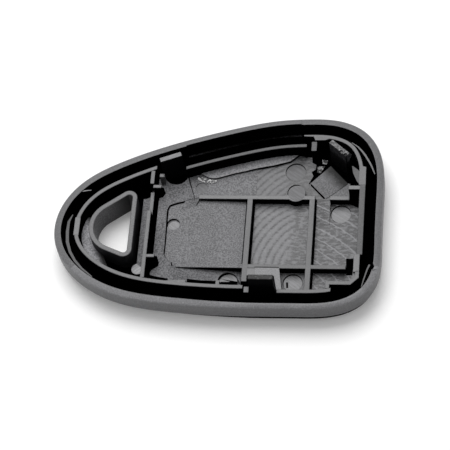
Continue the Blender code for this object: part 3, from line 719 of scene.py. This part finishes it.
def on_the_rounded_rim_edge(face):
    """Whether a face belongs to the rounding along the rim's outer edge, which gets a painted highlight."""
    outward = face.normal.xy.dot(face.center.xy) > 0
    return outward and face.center.z > RIM_HIGHLIGHT_FROM * MM and 0.25 < face.normal.z < 0.97


def rear_band(name, outer, inner, low, high, start, end):
    """The rear stretch of a band, from one X to another."""
    obj = band(name, outer, inner, low, high)
    keep_side(obj, x=start, side=1)
    keep_side(obj, x=end, side=-1)
    keep_side(obj, y=0, side=1)
    return obj


def make_tray():
    near_top = (RIM_TOP - 0.1) * MM
    tray = plate("cover_tray", outline(TRAY_INSET), 0, RIM_TOP)
    edit(tray, "EDGE")
    pick(tray, "edges", lambda edge: all(vertex.co.z < MM for vertex in edge.verts))
    bpy.ops.mesh.bevel(offset=BACK_RADIUS * MM, segments=8, affect="EDGES")
    pick(tray, "edges", lambda edge: all(vertex.co.z > near_top for vertex in edge.verts))
    bpy.ops.mesh.bevel(offset=RIM_EDGE_ROUND * MM, segments=3, affect="EDGES")
    bpy.ops.mesh.select_mode(type="FACE")
    pick(tray, "faces", lambda face: face.normal.z > FLAT and face.calc_center_median().z > near_top)
    bpy.ops.mesh.inset(thickness=(RIM_WIDTH - RIM_EDGE_ROUND) * MM)
    draw_channel_forward(tray)
    move_up(DEEP - RIM_TOP)
    leave_edit()
    cut(tray, plate("eye_cut", eye_outline(SLEEVE_GAP), BELOW, ABOVE))
    cut(tray, rear_band("rear_rim_step", 1.38, 3.0, SHELF, 8, -7.8, 15.7))
    notch = [(30.5, -12.1), (31.35, -11.5), (31.8, -12.5), (31.5, -13.3)]
    cut(tray, plate("rim_notch", notch, NOTCH_LEVEL, ABOVE))
    soften(tray, COVER_ROUNDING, 2, 50)
    tray.data.materials.append(GRAINED)
    # The channel's faces get the near-black painted shade.
    finish_faces(tray, SHADED, in_the_channel)
    # The rim's rounded outer edge gets the painted highlight.
    finish_faces(tray, RIM_EDGE_PAINTED_HIGHLIGHT, on_the_rounded_rim_edge)
    done(tray, "back_cover")


def strip_outline(points, widths):
    """The outline of a strip that follows a line of points, and is as wide at each as given."""
    points = np.asarray(points, float)
    along = np.gradient(points, axis=0)
    along /= np.linalg.norm(along, axis=1)[:, None]
    side = np.stack([-along[:, 1], along[:, 0]], axis=1) * np.asarray(widths)[:, None] / 2
    return list(points - side) + list((points + side)[::-1])


def make_lip(name, low, high, finish, points, widths):
    lip = plate(name, strip_outline(points, widths), low, high)
    dark_sides(lip, finish)
    done(lip)


def make_lips():
    """Thin lips of flash in the channel, a burr on the rim and the seam behind the rear wall."""
    make_lip(
        "front_left_lip", LIP_FOOT, LIP_TOP, LIP_FACE,
        [(-29.9, -0.65), (-30.54, -2.31), (-30.57, -4.66), (-30.3, -7.0), (-29.51, -9.31), (-28.25, -11.37),
         (-26.62, -13.19), (-24.38, -14.98)],
        [0.15, 0.5, 0.62, 0.62, 0.55, 0.5, 0.4, 0.2],
    )
    make_lip(
        "rear_right_lip", LIP_FOOT, LIP_TOP, WALL_TOP_FACE,
        [(26.04, 17.10), (27.30, 16.14), (28.1, 15.2), (28.81, 14.22), (29.90, 12.30), (30.4, 11.2),
         (31.0, 9.6)],
        [0.15, 0.25, 0.35, 0.4, 0.35, 0.3, 0.2],
    )
    make_lip(
        "front_right_lip", LIP_FOOT, 5.5, LIP_FACE,
        [(30.85, -11.9), (30.4, -13.05), (30.1, -14.17), (29.75, -15.52), (29.45, -16.86)],
        [0.35, 0.3, 0.26, 0.24, 0.15],
    )
    make_lip(
        "rim_burr", 5.2, 5.79, RIB_FACE, [(-28.39, 4.20), (-27.37, 4.38), (-26.45, 4.50)], [0.28, 0.22, 0.16]
    )
    seam = rear_band("rear_channel_seam", 1.7, 2.1, 2.2, 2.35, -7.6, 15.5)
    dark_sides(seam, SEAM)
    done(seam)


def make_sleeve():
    sleeve = plate("keyring_sleeve_dressed", eye_outline(SLEEVE_WALL), SLEEVE_FOOT, WALL_TOP)
    cut(sleeve, plate("bore", eye_outline(0), BELOW, ABOVE))
    soften(sleeve, SLEEVE_ROUNDING, 3)
    sleeve.data.materials.append(GRAINED)
    middle = Vector(EYE_MIDDLE) * MM

    def outward(face):
        return face.normal.xy.dot(face.center.xy - middle)

    # The outer sides and the bore's sides get painted shade.
    finish_faces(sleeve, SLEEVE_SIDE_PAINTED_SHADE, lambda face: upright(face) and outward(face) > 0)
    finish_faces(sleeve, SLEEVE_INNER, lambda face: upright(face) and outward(face) < 0)
    done(sleeve, "keyring_sleeve")


# Floors

def pocket(floor, points, left, right=None):
    """Sinks a pocket with a level bottom, or one that falls evenly from its left end to its right end."""
    tool = plate("pocket", points, left, ABOVE)
    if right is not None:
        ends = [x for x, _ in points]
        for vertex in tool.data.vertices:
            if vertex.co.z < (ABOVE - 1) * MM:
                share = (vertex.co.x / MM - min(ends)) / (max(ends) - min(ends))
                vertex.co.z = (left + (right - left) * share) * MM
    cut(floor, tool)


def ring_tool(x, y, outer, inner, bottom, offset=(0, 0)):
    """A ring that cuts a round groove, and whose hole may lie off its middle."""
    ring = plate("ring", ring_of(x, y, outer, 64), bottom, ABOVE)
    hole = ring_of(x + offset[0], y + offset[1], inner, 64)
    cut(ring, plate("ring_core", hole, bottom - 1, ABOVE + 1))
    return ring


def scored_ring(obj, x, y, radius, bottom):
    """Cuts a narrow groove round a pin mark, down to the black painted shade: a real ring line, widened at
    its upper left to draw the pit edge's shade.
    """
    cut(obj, ring_tool(x, y, radius + GROOVE_WIDTH, radius, bottom, GROOVE_OFFSET))


def finish_pin(obj, x, y, radius, bottom, finish):
    """Gives the bottom of a pin mark its finish."""
    centre = Vector((x, y)) * MM
    finish_faces(
        obj, finish,
        lambda face: flat(face) and abs(face.center.z - bottom * MM) < 0.03 * MM
        and (face.center.xy - centre).length < radius * MM
    )


# The rear edge of the floors behind the rear rib, from right to left
REAR_FLOOR_EDGE = [
    (15.4, 15.1), (13.6, 13.4), (10.3, 12.4), (7.0, 11.7), (4.35, 10.92), (2.93, 10.57), (1.32, 10.07),
    (-0.09, 9.58), (-1.30, 9.21), (-2.33, 9.17), (-3.07, 9.38), (-3.82, 9.79), (-4.48, 10.19), (-5.03, 10.67),
]

# The groove round the left bay, whose black painted shade draws the shaded edge of its step, and its width at
# each point
BAY_LINE = [
    (-6.44, 4.08), (-7.03, 3.84), (-7.83, 3.52), (-9.43, 3.03), (-10.42, 2.54), (-10.74, 1.59),
    (-10.76, 0.64), (-10.71, -1.01), (-10.62, -4.29), (-10.58, -6.85), (-10.62, -8.70), (-10.24, -9.51),
    (-9.46, -10.30),
]
BAY_LINE_WIDTHS = [0.03, 0.08, 0.12, 0.16, 0.22, 0.26, 0.26, 0.24, 0.2, 0.18, 0.16, 0.08, 0.03]
RIB_END_LINE = [(-7.23, 9.76), (-6.80, 8.31), (-5.98, 5.92), (-5.42, 4.26), (-4.91, 3.08)]
RIB_END_LINE_WIDTHS = [0.28, 0.2, 0.1, 0.08, 0.08]
FRONT_LINE = [(-9.0, -10.7), (-8.72, -11.48)]
FRONT_LINE_WIDTHS = [0.16, 0.28]

# What is sunk into the shelf: an outline, a level, and the level at the right end where that is another
SHELF_POCKETS = (
    # Floors behind the rib, under the rear wall, in the left bay and before it
    ([(-7.35, 10.2), (-6.80, 8.31), (-5.98, 5.92), (-5.6, 4.85), (7.05, 4.85), *REAR_FLOOR_EDGE[3:]],
     2.88, 2.62),
    ([(7.0, 4.85), (19, 4.85), (19, 15.9), (16.4, 16.2), *REAR_FLOOR_EDGE[:4]], 2.2, None),
    ([(-6.8, 3.93), (-7.83, 3.52), (-9.43, 3.03), (-10.42, 2.54), (-10.74, 1.59), (-10.76, 0.64),
      (-10.62, -8.70), (-10.24, -9.51), (-9.46, -10.30), (-7.8, -11.15), (5.6, -11.15), (5.6, 4.35),
      (-4.9, 4.35)], 2.88, 2.15),
    ([(-8.2, -11.65), (-8.2, -17), (5.6, -18.5), (5.6, -11.65)], 3.19, 1.55),
    # Gaps beside the sleeve and the cross wall, whose black painted shade stands where their shadows fall
    (rectangle(-32, -19, -0.4, 30), DEEP, None),
    (rectangle(-19.2, -14.5, 4.4, 30), DEEP, None),
    (ring_of(-15.8, 5.65, 1.6), DEEP, None),
    ([(-23.7, -7.6), (-16.5, -9.8), (-16.2, -11.0), (-14.5, -12.3), (-14.5, -30), (-21.6, -30),
      (-21.6, -12.2)], DEEP, None),
    (rectangle(-17.3, -15.95, -11.2, 4.5), DEEP, None),
    (rectangle(-13.7, -12.8, -9.6, 4.4), DEEP, None),
    ([(-13.9, 6.81), (-12.05, 6.82), (-11.5, 5.39), (-12.05, 4.55), (-13.05, 4.18), (-13.18, 3.0),
      (-13.9, 3.0)], DEEP, None),
    ([(-13.9, -9.2), (-12.0, -9.3), (-11.44, -10.79), (-11.56, -11.6), (-12.7, -12.42), (-13.06, -12.88),
      (-12.98, -16), (-13.9, -16)], DEEP, None),
    # Gaps along the front wall
    ([(-13.05, -13.66), (-11.95, -13.91), (-10.51, -14.21), (-9.3, -14.4), (-9.3, -17), (-13.05, -17)],
     DEEP, None),
    ([(-5.5, -14.2), (-2.8, -14.35), (0.9, -14.2), (1.2, -14.05), (4.5, -14.0), (4.5, -20), (-5.5, -20)],
     DEEP, None),
    # The keyring eye, and the opening round the left hook
    (eye_outline(SLEEVE_GAP), BELOW, None),
    (ring_of(-9.6, 10.1, 2.5), DEEP, None),
    (rectangle(-14.45, -11.0, 8.85, 14), DEEP, None),
    (rectangle(-11.5, -7.5, 10.5, 14), DEEP, None),
    (rectangle(-14.45, -13.15, 6.8, 10), DEEP, None),
    # Narrow grooves, whose black painted shade draws the shaded edges of steps
    (strip_outline(BAY_LINE, BAY_LINE_WIDTHS), DEEP, None),
    (strip_outline(RIB_END_LINE, RIB_END_LINE_WIDTHS), DEEP, None),
    (strip_outline(FRONT_LINE, FRONT_LINE_WIDTHS), DEEP, None),
)

# Pin marks in the shelf: X, Y, radius, level of the bottom and its finish
PIN_MARKS = (
    (-4.24, 7.02, 1.25, 2.64, DULL_PIN_FACE),
    (-9.35, -1.6, 1.3, 2.28, PIN_FACE),
    (2.6, -14.2, 1.95, 1.50, PIN_FACE),
)


def on_a_sunk_floor(face):
    """Whether a face belongs to the floors sunk into the shelf's left bay and behind the rear rib."""
    x, y, z = face.center / MM
    return flat(face) and 1.9 < z < 3.05 and x > -11 and y > -11.5


def behind_the_floors(face):
    """Whether a face belongs to the strip of the shelf behind the sunk floors, which gets painted light."""
    x, y, z = face.center / MM
    return flat(face) and z > 3.1 and x > -5 and y > 8


def make_shelf():
    """The shelf round the keyring sleeve, the left bay and the rear wall, with the floors sunk into it."""
    shelf = plate("shelf_floor", outline(SHELF_INSET), FOOT, SHELF)
    keep_side(shelf, x=18.0, side=-1)
    cut(shelf, plate("bays", rectangle(5.1, 30, -30, 5.2), 0, ABOVE))
    cut(shelf, rear_band("rear_channel", 3.0, 7.15, 0, ABOVE, -7.4, 18.5))
    for points, left, right in SHELF_POCKETS:
        pocket(shelf, points, left, right)
    for x, y, radius, bottom, _ in PIN_MARKS:
        cut(shelf, plate("pit", ring_of(x, y, radius), bottom, ABOVE))
    scored_ring(shelf, *PIN_MARKS[-1][:3], DEEP)
    soften(shelf, SHELF_ROUNDING, 1)
    shelf.data.materials.append(FLOOR_FACE)
    # Faces below the shade level and upright faces get the near-black painted shade.
    finish_faces(shelf, SHADED, lambda face: face.center.z < SHADE_LEVEL * MM or upright(face))
    finish_faces(shelf, RECESS_FACE, on_a_sunk_floor)
    for mark in PIN_MARKS:
        finish_pin(shelf, *mark)
    finish_faces(shelf, STRIP_PAINTED_LIGHT, behind_the_floors)
    done(shelf)
    make_ramp(
        "left_bay_ramp", RECESS_FACE,
        [(-7.3, 3.75, 3.19), (-8.3, 1.6, 2.77), (-5.3, 2.6, 2.63), (-4.35, 4.4, 3.19)],
    )


def make_ramp(name, finish, corners):
    """A block with a sloping top, whose corners are given as X, Y and height."""
    ramp = plate(name, [(x, y) for x, y, _ in corners], FOOT, ABOVE)
    tops = [vertex for vertex in ramp.data.vertices if vertex.co.z > (ABOVE - 1) * MM]
    for x, y, z in corners:
        nearest = min(tops, key=lambda vertex: (vertex.co.xy - Vector((x, y)) * MM).length)
        nearest.co.z = z * MM
    dark_sides(ramp, finish)
    done(ramp)


def make_floor(name, low, high, finish, points, pits=(), pin_finish=PIN_FACE):
    """A block with a level top, into which pin marks are sunk, given as X, Y and radius."""
    floor = plate(name, points, low, high)
    for x, y, radius in pits:
        cut(floor, plate("pit", ring_of(x, y, radius), high - PIT_DEPTH, ABOVE))
        scored_ring(floor, x, y, radius, FOOT - 0.1)
    dark_sides(floor, finish)
    for x, y, radius in pits:
        finish_pin(floor, x, y, radius, high - PIT_DEPTH, pin_finish)
    done(floor)


def make_floors():
    make_floor("cell_bay_floor", FOOT, BAY_FLOOR_LEVEL, CELL_FLOOR, rectangle(6.85, 18.3, -11.2, 4.4))
    make_floor(
        "right_bay_floor", FOOT, BAY_FLOOR_LEVEL, RIGHT_FLOOR,
        [(19.45, -16.2), (28.4, -16.2), (28.4, -12.2), (26.0, -12.2), (25.85, -8.37), (28.4, -8.35),
         (28.4, 3.2), (26.0, 4.2), (22.2, 4.25), (22.0, 3.0), (19.45, 3.0)],
        [(24.35, 1.85, 2.0)],
    )
    make_floor(
        "front_bay_floor", FOOT, BAY_FLOOR_LEVEL, PLAIN_FLOOR,
        [(5.2, -11.5), (5.2, -13.0), (13.0, -13.0), (13.3, -16.0), (14.0, -17.2), (19.0, -18.0),
         (19.0, -11.5)],
        [(15.5, -14.1, 1.9)],
    )
    make_floor(
        "rear_machined_floor", FOOT, REAR_FLOOR_LEVEL, REAR_FLOOR,
        [(7.0, 5.0), (19.1, 4.7), (21.0, 4.5), (17.55, 8.4), (18.4, 10.2), (18.0, 11.2), (18.8, 11.8),
         (18.9, 12.9), (18.1, 13.4), (17.5, 14.2), (16.2, 14.9),
         *[(x, y - 0.06) for x, y in REAR_FLOOR_EDGE[:4]]],
        [(14.8, 11.1, 2.02)], DULL_PIN_FACE,
    )
    make_ramp(
        "rear_corner_ramp", RIGHT_FLOOR,
        [(19.45, -1.0, BAY_FLOOR_LEVEL), (22.15, -1.0, BAY_FLOOR_LEVEL), (22.15, 4.75, REAR_FLOOR_LEVEL),
         (19.45, 4.75, REAR_FLOOR_LEVEL)],
    )
    make_floor(
        "rear_corner_floor", FOOT, REAR_FLOOR_LEVEL, PLAIN_FLOOR,
        [(21.1, 4.4), (26.1, 4.6), (26.0, 8.4), (25.3, 8.6), (21.0, 5.0)],
    )
    make_floor(
        "rear_corner_pad", FOOT, 2.72, PAD_FACE, [(21.85, 12.6), (17.95, 8.4), (21.25, 4.78), (25.55, 8.4)]
    )
    make_floor(
        "torn_corner_rear", FOOT, TORN_TOP, BURRS, [(20.0, 14.2), (21.15, 14.0), (21.0, 13.05), (20.1, 13.2)]
    )
    make_floor(
        "torn_corner_front", FOOT, TORN_TOP, BURRS, [(19.2, 12.6), (20.7, 12.6), (19.8, 10.9), (19.1, 11.1)]
    )
    make_floor(
        "painted_glint_specks", 2.5, 2.9, PAINTED_GLINTS,
        [(-5.4, 9.4), (-4.86, 9.75), (-3.58, 9.3), (-2.32, 8.98), (-1.27, 8.85), (-1.43, 8.28), (-2.44, 8.04),
         (-3.70, 8.26), (-4.99, 8.85)],
    )


def make_webs():
    """Thicker places of walls, the bar at the front hook's window and marks on a rib and a pin mark."""
    rows = (
        ("front_wall_lug", WALL_TOP - 0.04, WALL_TOP_FACE,
         [(-9.3, -16.4), (-9.1, -17.2), (-5.15, -17.55), (-5.3, -16.25)]),
        ("front_wall_key", WALL_TOP - 0.04, WALL_TOP_FACE,
         [(0.8, -16.2), (0.8, -17.4), (1.5, -17.4), (1.5, -16.2)]),
        ("right_wall_web", 5.9, DARKER_WALL_TOP,
         [(26.4, 10.75), (26.9, 10.4), (27.64, 9.8), (28.3, 9.0), (28.3, 6.2), (27.6, 6.95), (26.7, 9.05)]),
        ("right_wall_knob", WALL_TOP + 0.04, WALL_TOP_FACE,
         [(28.0, 6.1), (29.35, 6.1), (29.3, 10.3), (28.0, 10.6)]),
        ("right_block_web", 5.6, WALL_TOP_FACE,
         [(27.9, -10.3), (27.65, -13.0), (27.6, -15.0), (28.4, -15.0), (28.5, -10.3)]),
        ("corner_wall_web", WALL_TOP - 0.03, WALL_TOP_FACE,
         [(18.4, 17.5), (18.7, 16.7), (20.7, 16.75), (22.4, 17.35), (22.4, 17.6)]),
        ("window_bar", 3.38, RIB_FACE, [(6.4, -13.5), (8.1, -13.5), (8.1, -11.9), (6.4, -11.9)]),
        ("rib_pad_face", 3.43, DULL_PIN_FACE, ring_of(*RIB_PAD, RIB_PAD_RADIUS)),
        # A block whose top is near-black painted shade, standing for the slot in the pin mark
        ("strip_pin_slot", BAY_FLOOR_LEVEL - 0.1, SHADED,
         [(14.15, -13.9), (14.3, -15.1), (14.66, -15.1), (14.58, -13.9)]),
    )
    for name, top, finish, points in rows:
        make_floor(name, FOOT, top, finish, points)
    # A thin strip of near-black painted shade on top, drawing the gap between the hook frame and the rib.
    make_lip("frame_gap", 3.3, 3.42, SHADED, [(7.9, -11.62), (12.75, -11.6)], [0.13, 0.13])


# Walls, ribs, posts and hooks

def make_arc_walls():
    """The stretches of the locating wall that follow the outline, each cut to its node's ends.

    Each row has a node, its outer and inner inset, the side it lies on (1 rear, -1 front), how far it runs on
    past its node in Y, and the finish of its top.
    """
    rows = (
        ("arc_wall_rear", 4.15, 4.95, 1, 0.2, WALL_TOP_FACE),
        ("front_wall", 4.15, 4.95, -1, 0.2, WALL_TOP_FACE),
        ("rear_wall", 6.4, 7.1, 1, 0.1, DARKER_WALL_TOP),
        ("corner_wall", 4.15, 4.95, 1, 0.9, WALL_TOP_FACE),
        ("front_wall_right", 3.3, 4.1, -1, 0.2, WALL_TOP_FACE),
    )
    for node, outer, inner, side, join, top in rows:
        low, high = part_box(node)
        wall = band(node + "_dressed", outer, inner, FOOT, WALL_TOP)
        keep_side(wall, x=low.x / MM - 0.15, side=1)
        keep_side(wall, x=high.x / MM + 0.3, side=-1)
        end = low.y / MM - join if side > 0 else high.y / MM + join
        keep_side(wall, y=end, side=side)
        if node == "corner_wall":
            thin_start = [(15.5, 17.62), (18.4, 17.55), (18.4, 16), (15.5, 16)]
            cut(wall, plate("thin_start", thin_start, 0, ABOVE))
        soften(wall, WALL_ROUNDING)
        dark_sides(wall, top)
        done(wall, node)


def trim_member(piece, node):
    """Changes that single members need beside the CAD form."""
    if node == "cell_rib_left":
        keep_side(piece, y=-14.9, side=1)
    if node == "ejector_boss":
        for vertex in piece.data.vertices:
            vertex.co.x += BOSS_SHIFT * MM
    if node == "hook_frame":
        keep_side(piece, y=-17.2, side=1)
        cut(piece, plate("left_leg_end", rectangle(7.0, 9.2, -19, -15.0), 0, ABOVE))
    if node == "rear_rib":
        groove = ring_tool(*RIB_PAD, RIB_PAD_GROOVE, RIB_PAD_RADIUS, 3.1)
        keep_side(groove, y=5.2, side=1)
        cut(piece, groove)


def make_straight_members():
    """Ribs, posts and straight walls: the CAD forms with their feet in the floor and softened edges.

    Each row has how far the node's low and high ends are drawn out in X and in Y, and the finish of its top.
    """
    join = 0.4
    rows = {
        "cross_wall": ((0, 0, join, 0), WALL_TOP_FACE),
        "cross_wall_rear": ((0, 0, 0, join), WALL_TOP_FACE),
        "locating_tab": ((0, 0, 0.2, 0.2), RIB_FACE),
        "rear_rib": ((0, 0, 0, 0), RIB_FACE),
        "rear_rib_stub": ((0, 0.45, 0, 0), RIB_FACE),
        "right_wall": ((0, 0, 0.2, 0), DARKER_WALL_TOP),
        "right_block": ((0, 0, 0.2, 0.2), RIB_FACE),
        "front_rib_left": ((0, join, 0, 0), RECESS_FACE),
        "front_rib_middle": ((join, join, 0, 0), CELL_RIB_FACE),
        "front_rib_right": ((join, 0, 0, 0), CELL_RIB_FACE),
        "cell_rib_left": ((0, 0, 0, join), CELL_RIB_FACE),
        "cell_rib_right": ((0, 0, join, join), CELL_RIB_FACE),
        "step_wall": ((0, 0, join, join), WALL_TOP_FACE),
        "hook_frame": ((0, 0, join, join), FRAME_FACE),
        "ejector_boss": ((0, 0, 0, 0), BOSS_FACE),
        "post_hook_left": ((0, 0, 0, 0), RIB_FACE),
        "post_corner": ((0, 0, 0, 0), DARKER_WALL_TOP),
        "post_cross_rear": ((join, 0, 0, 0), RIB_FACE),
        "post_cross_front": ((join, 0, 0, 0), RIB_FACE),
        "post_right": ((0, join, 0, 0), RIB_FACE),
        "post_window": ((0, 0, 0, 0), WALL_TOP_FACE),
    }
    for node, (reach, top) in rows.items():
        piece = merged_copy(node, node + "_dressed", reach)
        for vertex in piece.data.vertices:
            if vertex.co.z < 2 * MM:
                vertex.co.z = FOOT * MM
        trim_member(piece, node)
        soften(piece, RIB_ROUNDING)
        # Upright sides get painted shade: near-black, and less dark on the left hook's post
        dark_sides(piece, top, POST_SIDE if node == "post_hook_left" else SHADED)
        done(piece, node)


# The corner hook's tip: its middle, the way along it, the way to the middle of the shell, and its chips,
# each with a place along the tip, a width, a depth and a level
CORNER_TIP = (24.1, 13.2)
CORNER_ALONG = (0.747798, -0.663926)
CORNER_INWARD = (-0.663926, -0.747798)
CORNER_REACH = 0.55
CORNER_CHIPS = ((0.9, 0.7, 0.25, 8.6), (2.0, 0.6, 0.35, 8.5))


def chip_corner_hook(hook):
    """Breaks the inner edge of the corner hook's tip into uneven teeth."""
    along = Vector(CORNER_ALONG)
    inward = Vector(CORNER_INWARD)
    for place, width, depth, level in CORNER_CHIPS:
        centre = Vector(CORNER_TIP) + along * place + inward * CORNER_REACH
        corners = []
        for a, b in ((-1, -1), (1, -1), (0.6, 1), (-0.7, 1)):
            corner = centre + along * (a * width / 2) - inward * (b * depth)
            corners.append((corner.x, corner.y))
        cut(hook, plate("chip", corners, level, ABOVE + 1))


def make_hooks():
    rows = (
        ("snap_hook_left", "left_hook", LEFT_HOOK_TOP),
        ("snap_hook_front", "front_hook", FRONT_HOOK_TOP),
        ("snap_hook_corner", "corner_hook", HOOK_TOP),
    )
    for node, body, top in rows:
        hook = merged_copy(node, node + "_dressed")
        if node == "snap_hook_corner":
            chip_corner_hook(hook)
        soften(hook, HOOK_ROUNDING)
        hook.data.materials.append(HOOK_BODY_PAINTED_SHADE)
        if node == "snap_hook_corner":
            finish_faces(hook, HOOK_INNER, lambda face: face.center.z > HOOK_SCUFFS_FROM * MM)
        finish_faces(hook, top, lambda face: face.normal.z > 0.6 and face.center.z > HOOK_TIP_FROM * MM)
        done(hook, node, body=body, slot="hook_plastic")


# Camera, floor and lights

FLOOR_GLOW = 0.09
SKY_LIGHT = 0.45
LAMP_TOWARD = (-0.15, 0.45, 0.88)
LAMP_DISTANCE = 0.6
LAMP_SIZE = 0.45
LAMP_POWER = 3.2

# The photograph's view: lens in millimetres, place in metres, and the picture's right and up ways
CAMERA_LENS = 161.7
CAMERA_PLACE = (0.05488, -0.20679, 0.35103)
CAMERA_RIGHT = (0.99123, 0.07593, -0.10815)
CAMERA_UP = (-0.01043, 0.86087, 0.50872)


def make_camera():
    camera = bpy.data.cameras.new("photograph_view")
    camera.lens = CAMERA_LENS
    camera.sensor_width = 36
    camera.clip_start = 0.01
    obj = bpy.data.objects.new("photograph_view", camera)
    bpy.context.scene.collection.objects.link(obj)
    right = Vector(CAMERA_RIGHT)
    back = right.cross(Vector(CAMERA_UP)).normalized()
    up = back.cross(right)
    turn = Matrix((right, up, back)).transposed().to_4x4()
    obj.matrix_world = Matrix.Translation(CAMERA_PLACE) @ turn
    bpy.context.scene.camera = obj


def make_stage():
    deselect()
    bpy.ops.mesh.primitive_plane_add(size=3, location=(0, 0, 0))
    floor = bpy.context.object
    floor.name = "pale_floor"
    finish = Finish("pale_floor_paint")
    glow = (FLOOR_GLOW, FLOOR_GLOW, FLOOR_GLOW)
    cloud = finish.noise(300, 2.0, 0.5)
    finish.surface(
        Base_Color=finish.colour(cloud, (0.93, 0.93, 0.93), (0.95, 0.95, 0.95)),
        Roughness=0.9,
        Specular_IOR_Level=0.1,
        Emission_Color=finish.colour(finish.backdrop_share(), (0, 0, 0), glow),
        Emission_Strength=1.0,
    )
    floor.data.materials.append(finish.material)


def make_lamp(name, toward, distance, size, power):
    lamp = bpy.data.lights.new(name, "AREA")
    lamp.shape = "SQUARE"
    lamp.size = size
    lamp.energy = power
    obj = bpy.data.objects.new(name, lamp)
    bpy.context.scene.collection.objects.link(obj)
    direction = Vector(toward).normalized()
    obj.location = direction * distance
    obj.rotation_euler = direction.to_track_quat("Z", "Y").to_euler()


def make_world():
    world = bpy.data.worlds.new("studio")
    bpy.context.scene.world = world
    world.use_nodes = True
    background = world.node_tree.nodes["Background"]
    background.inputs["Color"].default_value = (1, 1, 1, 1)
    shading = Shading(world.node_tree)
    share = shading.backdrop_share()
    shading.feed(background.inputs["Strength"], share * (1 - SKY_LIGHT) + SKY_LIGHT)


make_tray()
make_lips()
make_sleeve()
make_shelf()
make_floors()
make_webs()
make_arc_walls()
make_straight_members()
make_hooks()
make_camera()
make_stage()
make_lamp("large_softbox", LAMP_TOWARD, LAMP_DISTANCE, LAMP_SIZE, LAMP_POWER)
make_world()
bpy.context.scene.view_settings.view_transform = "Standard"
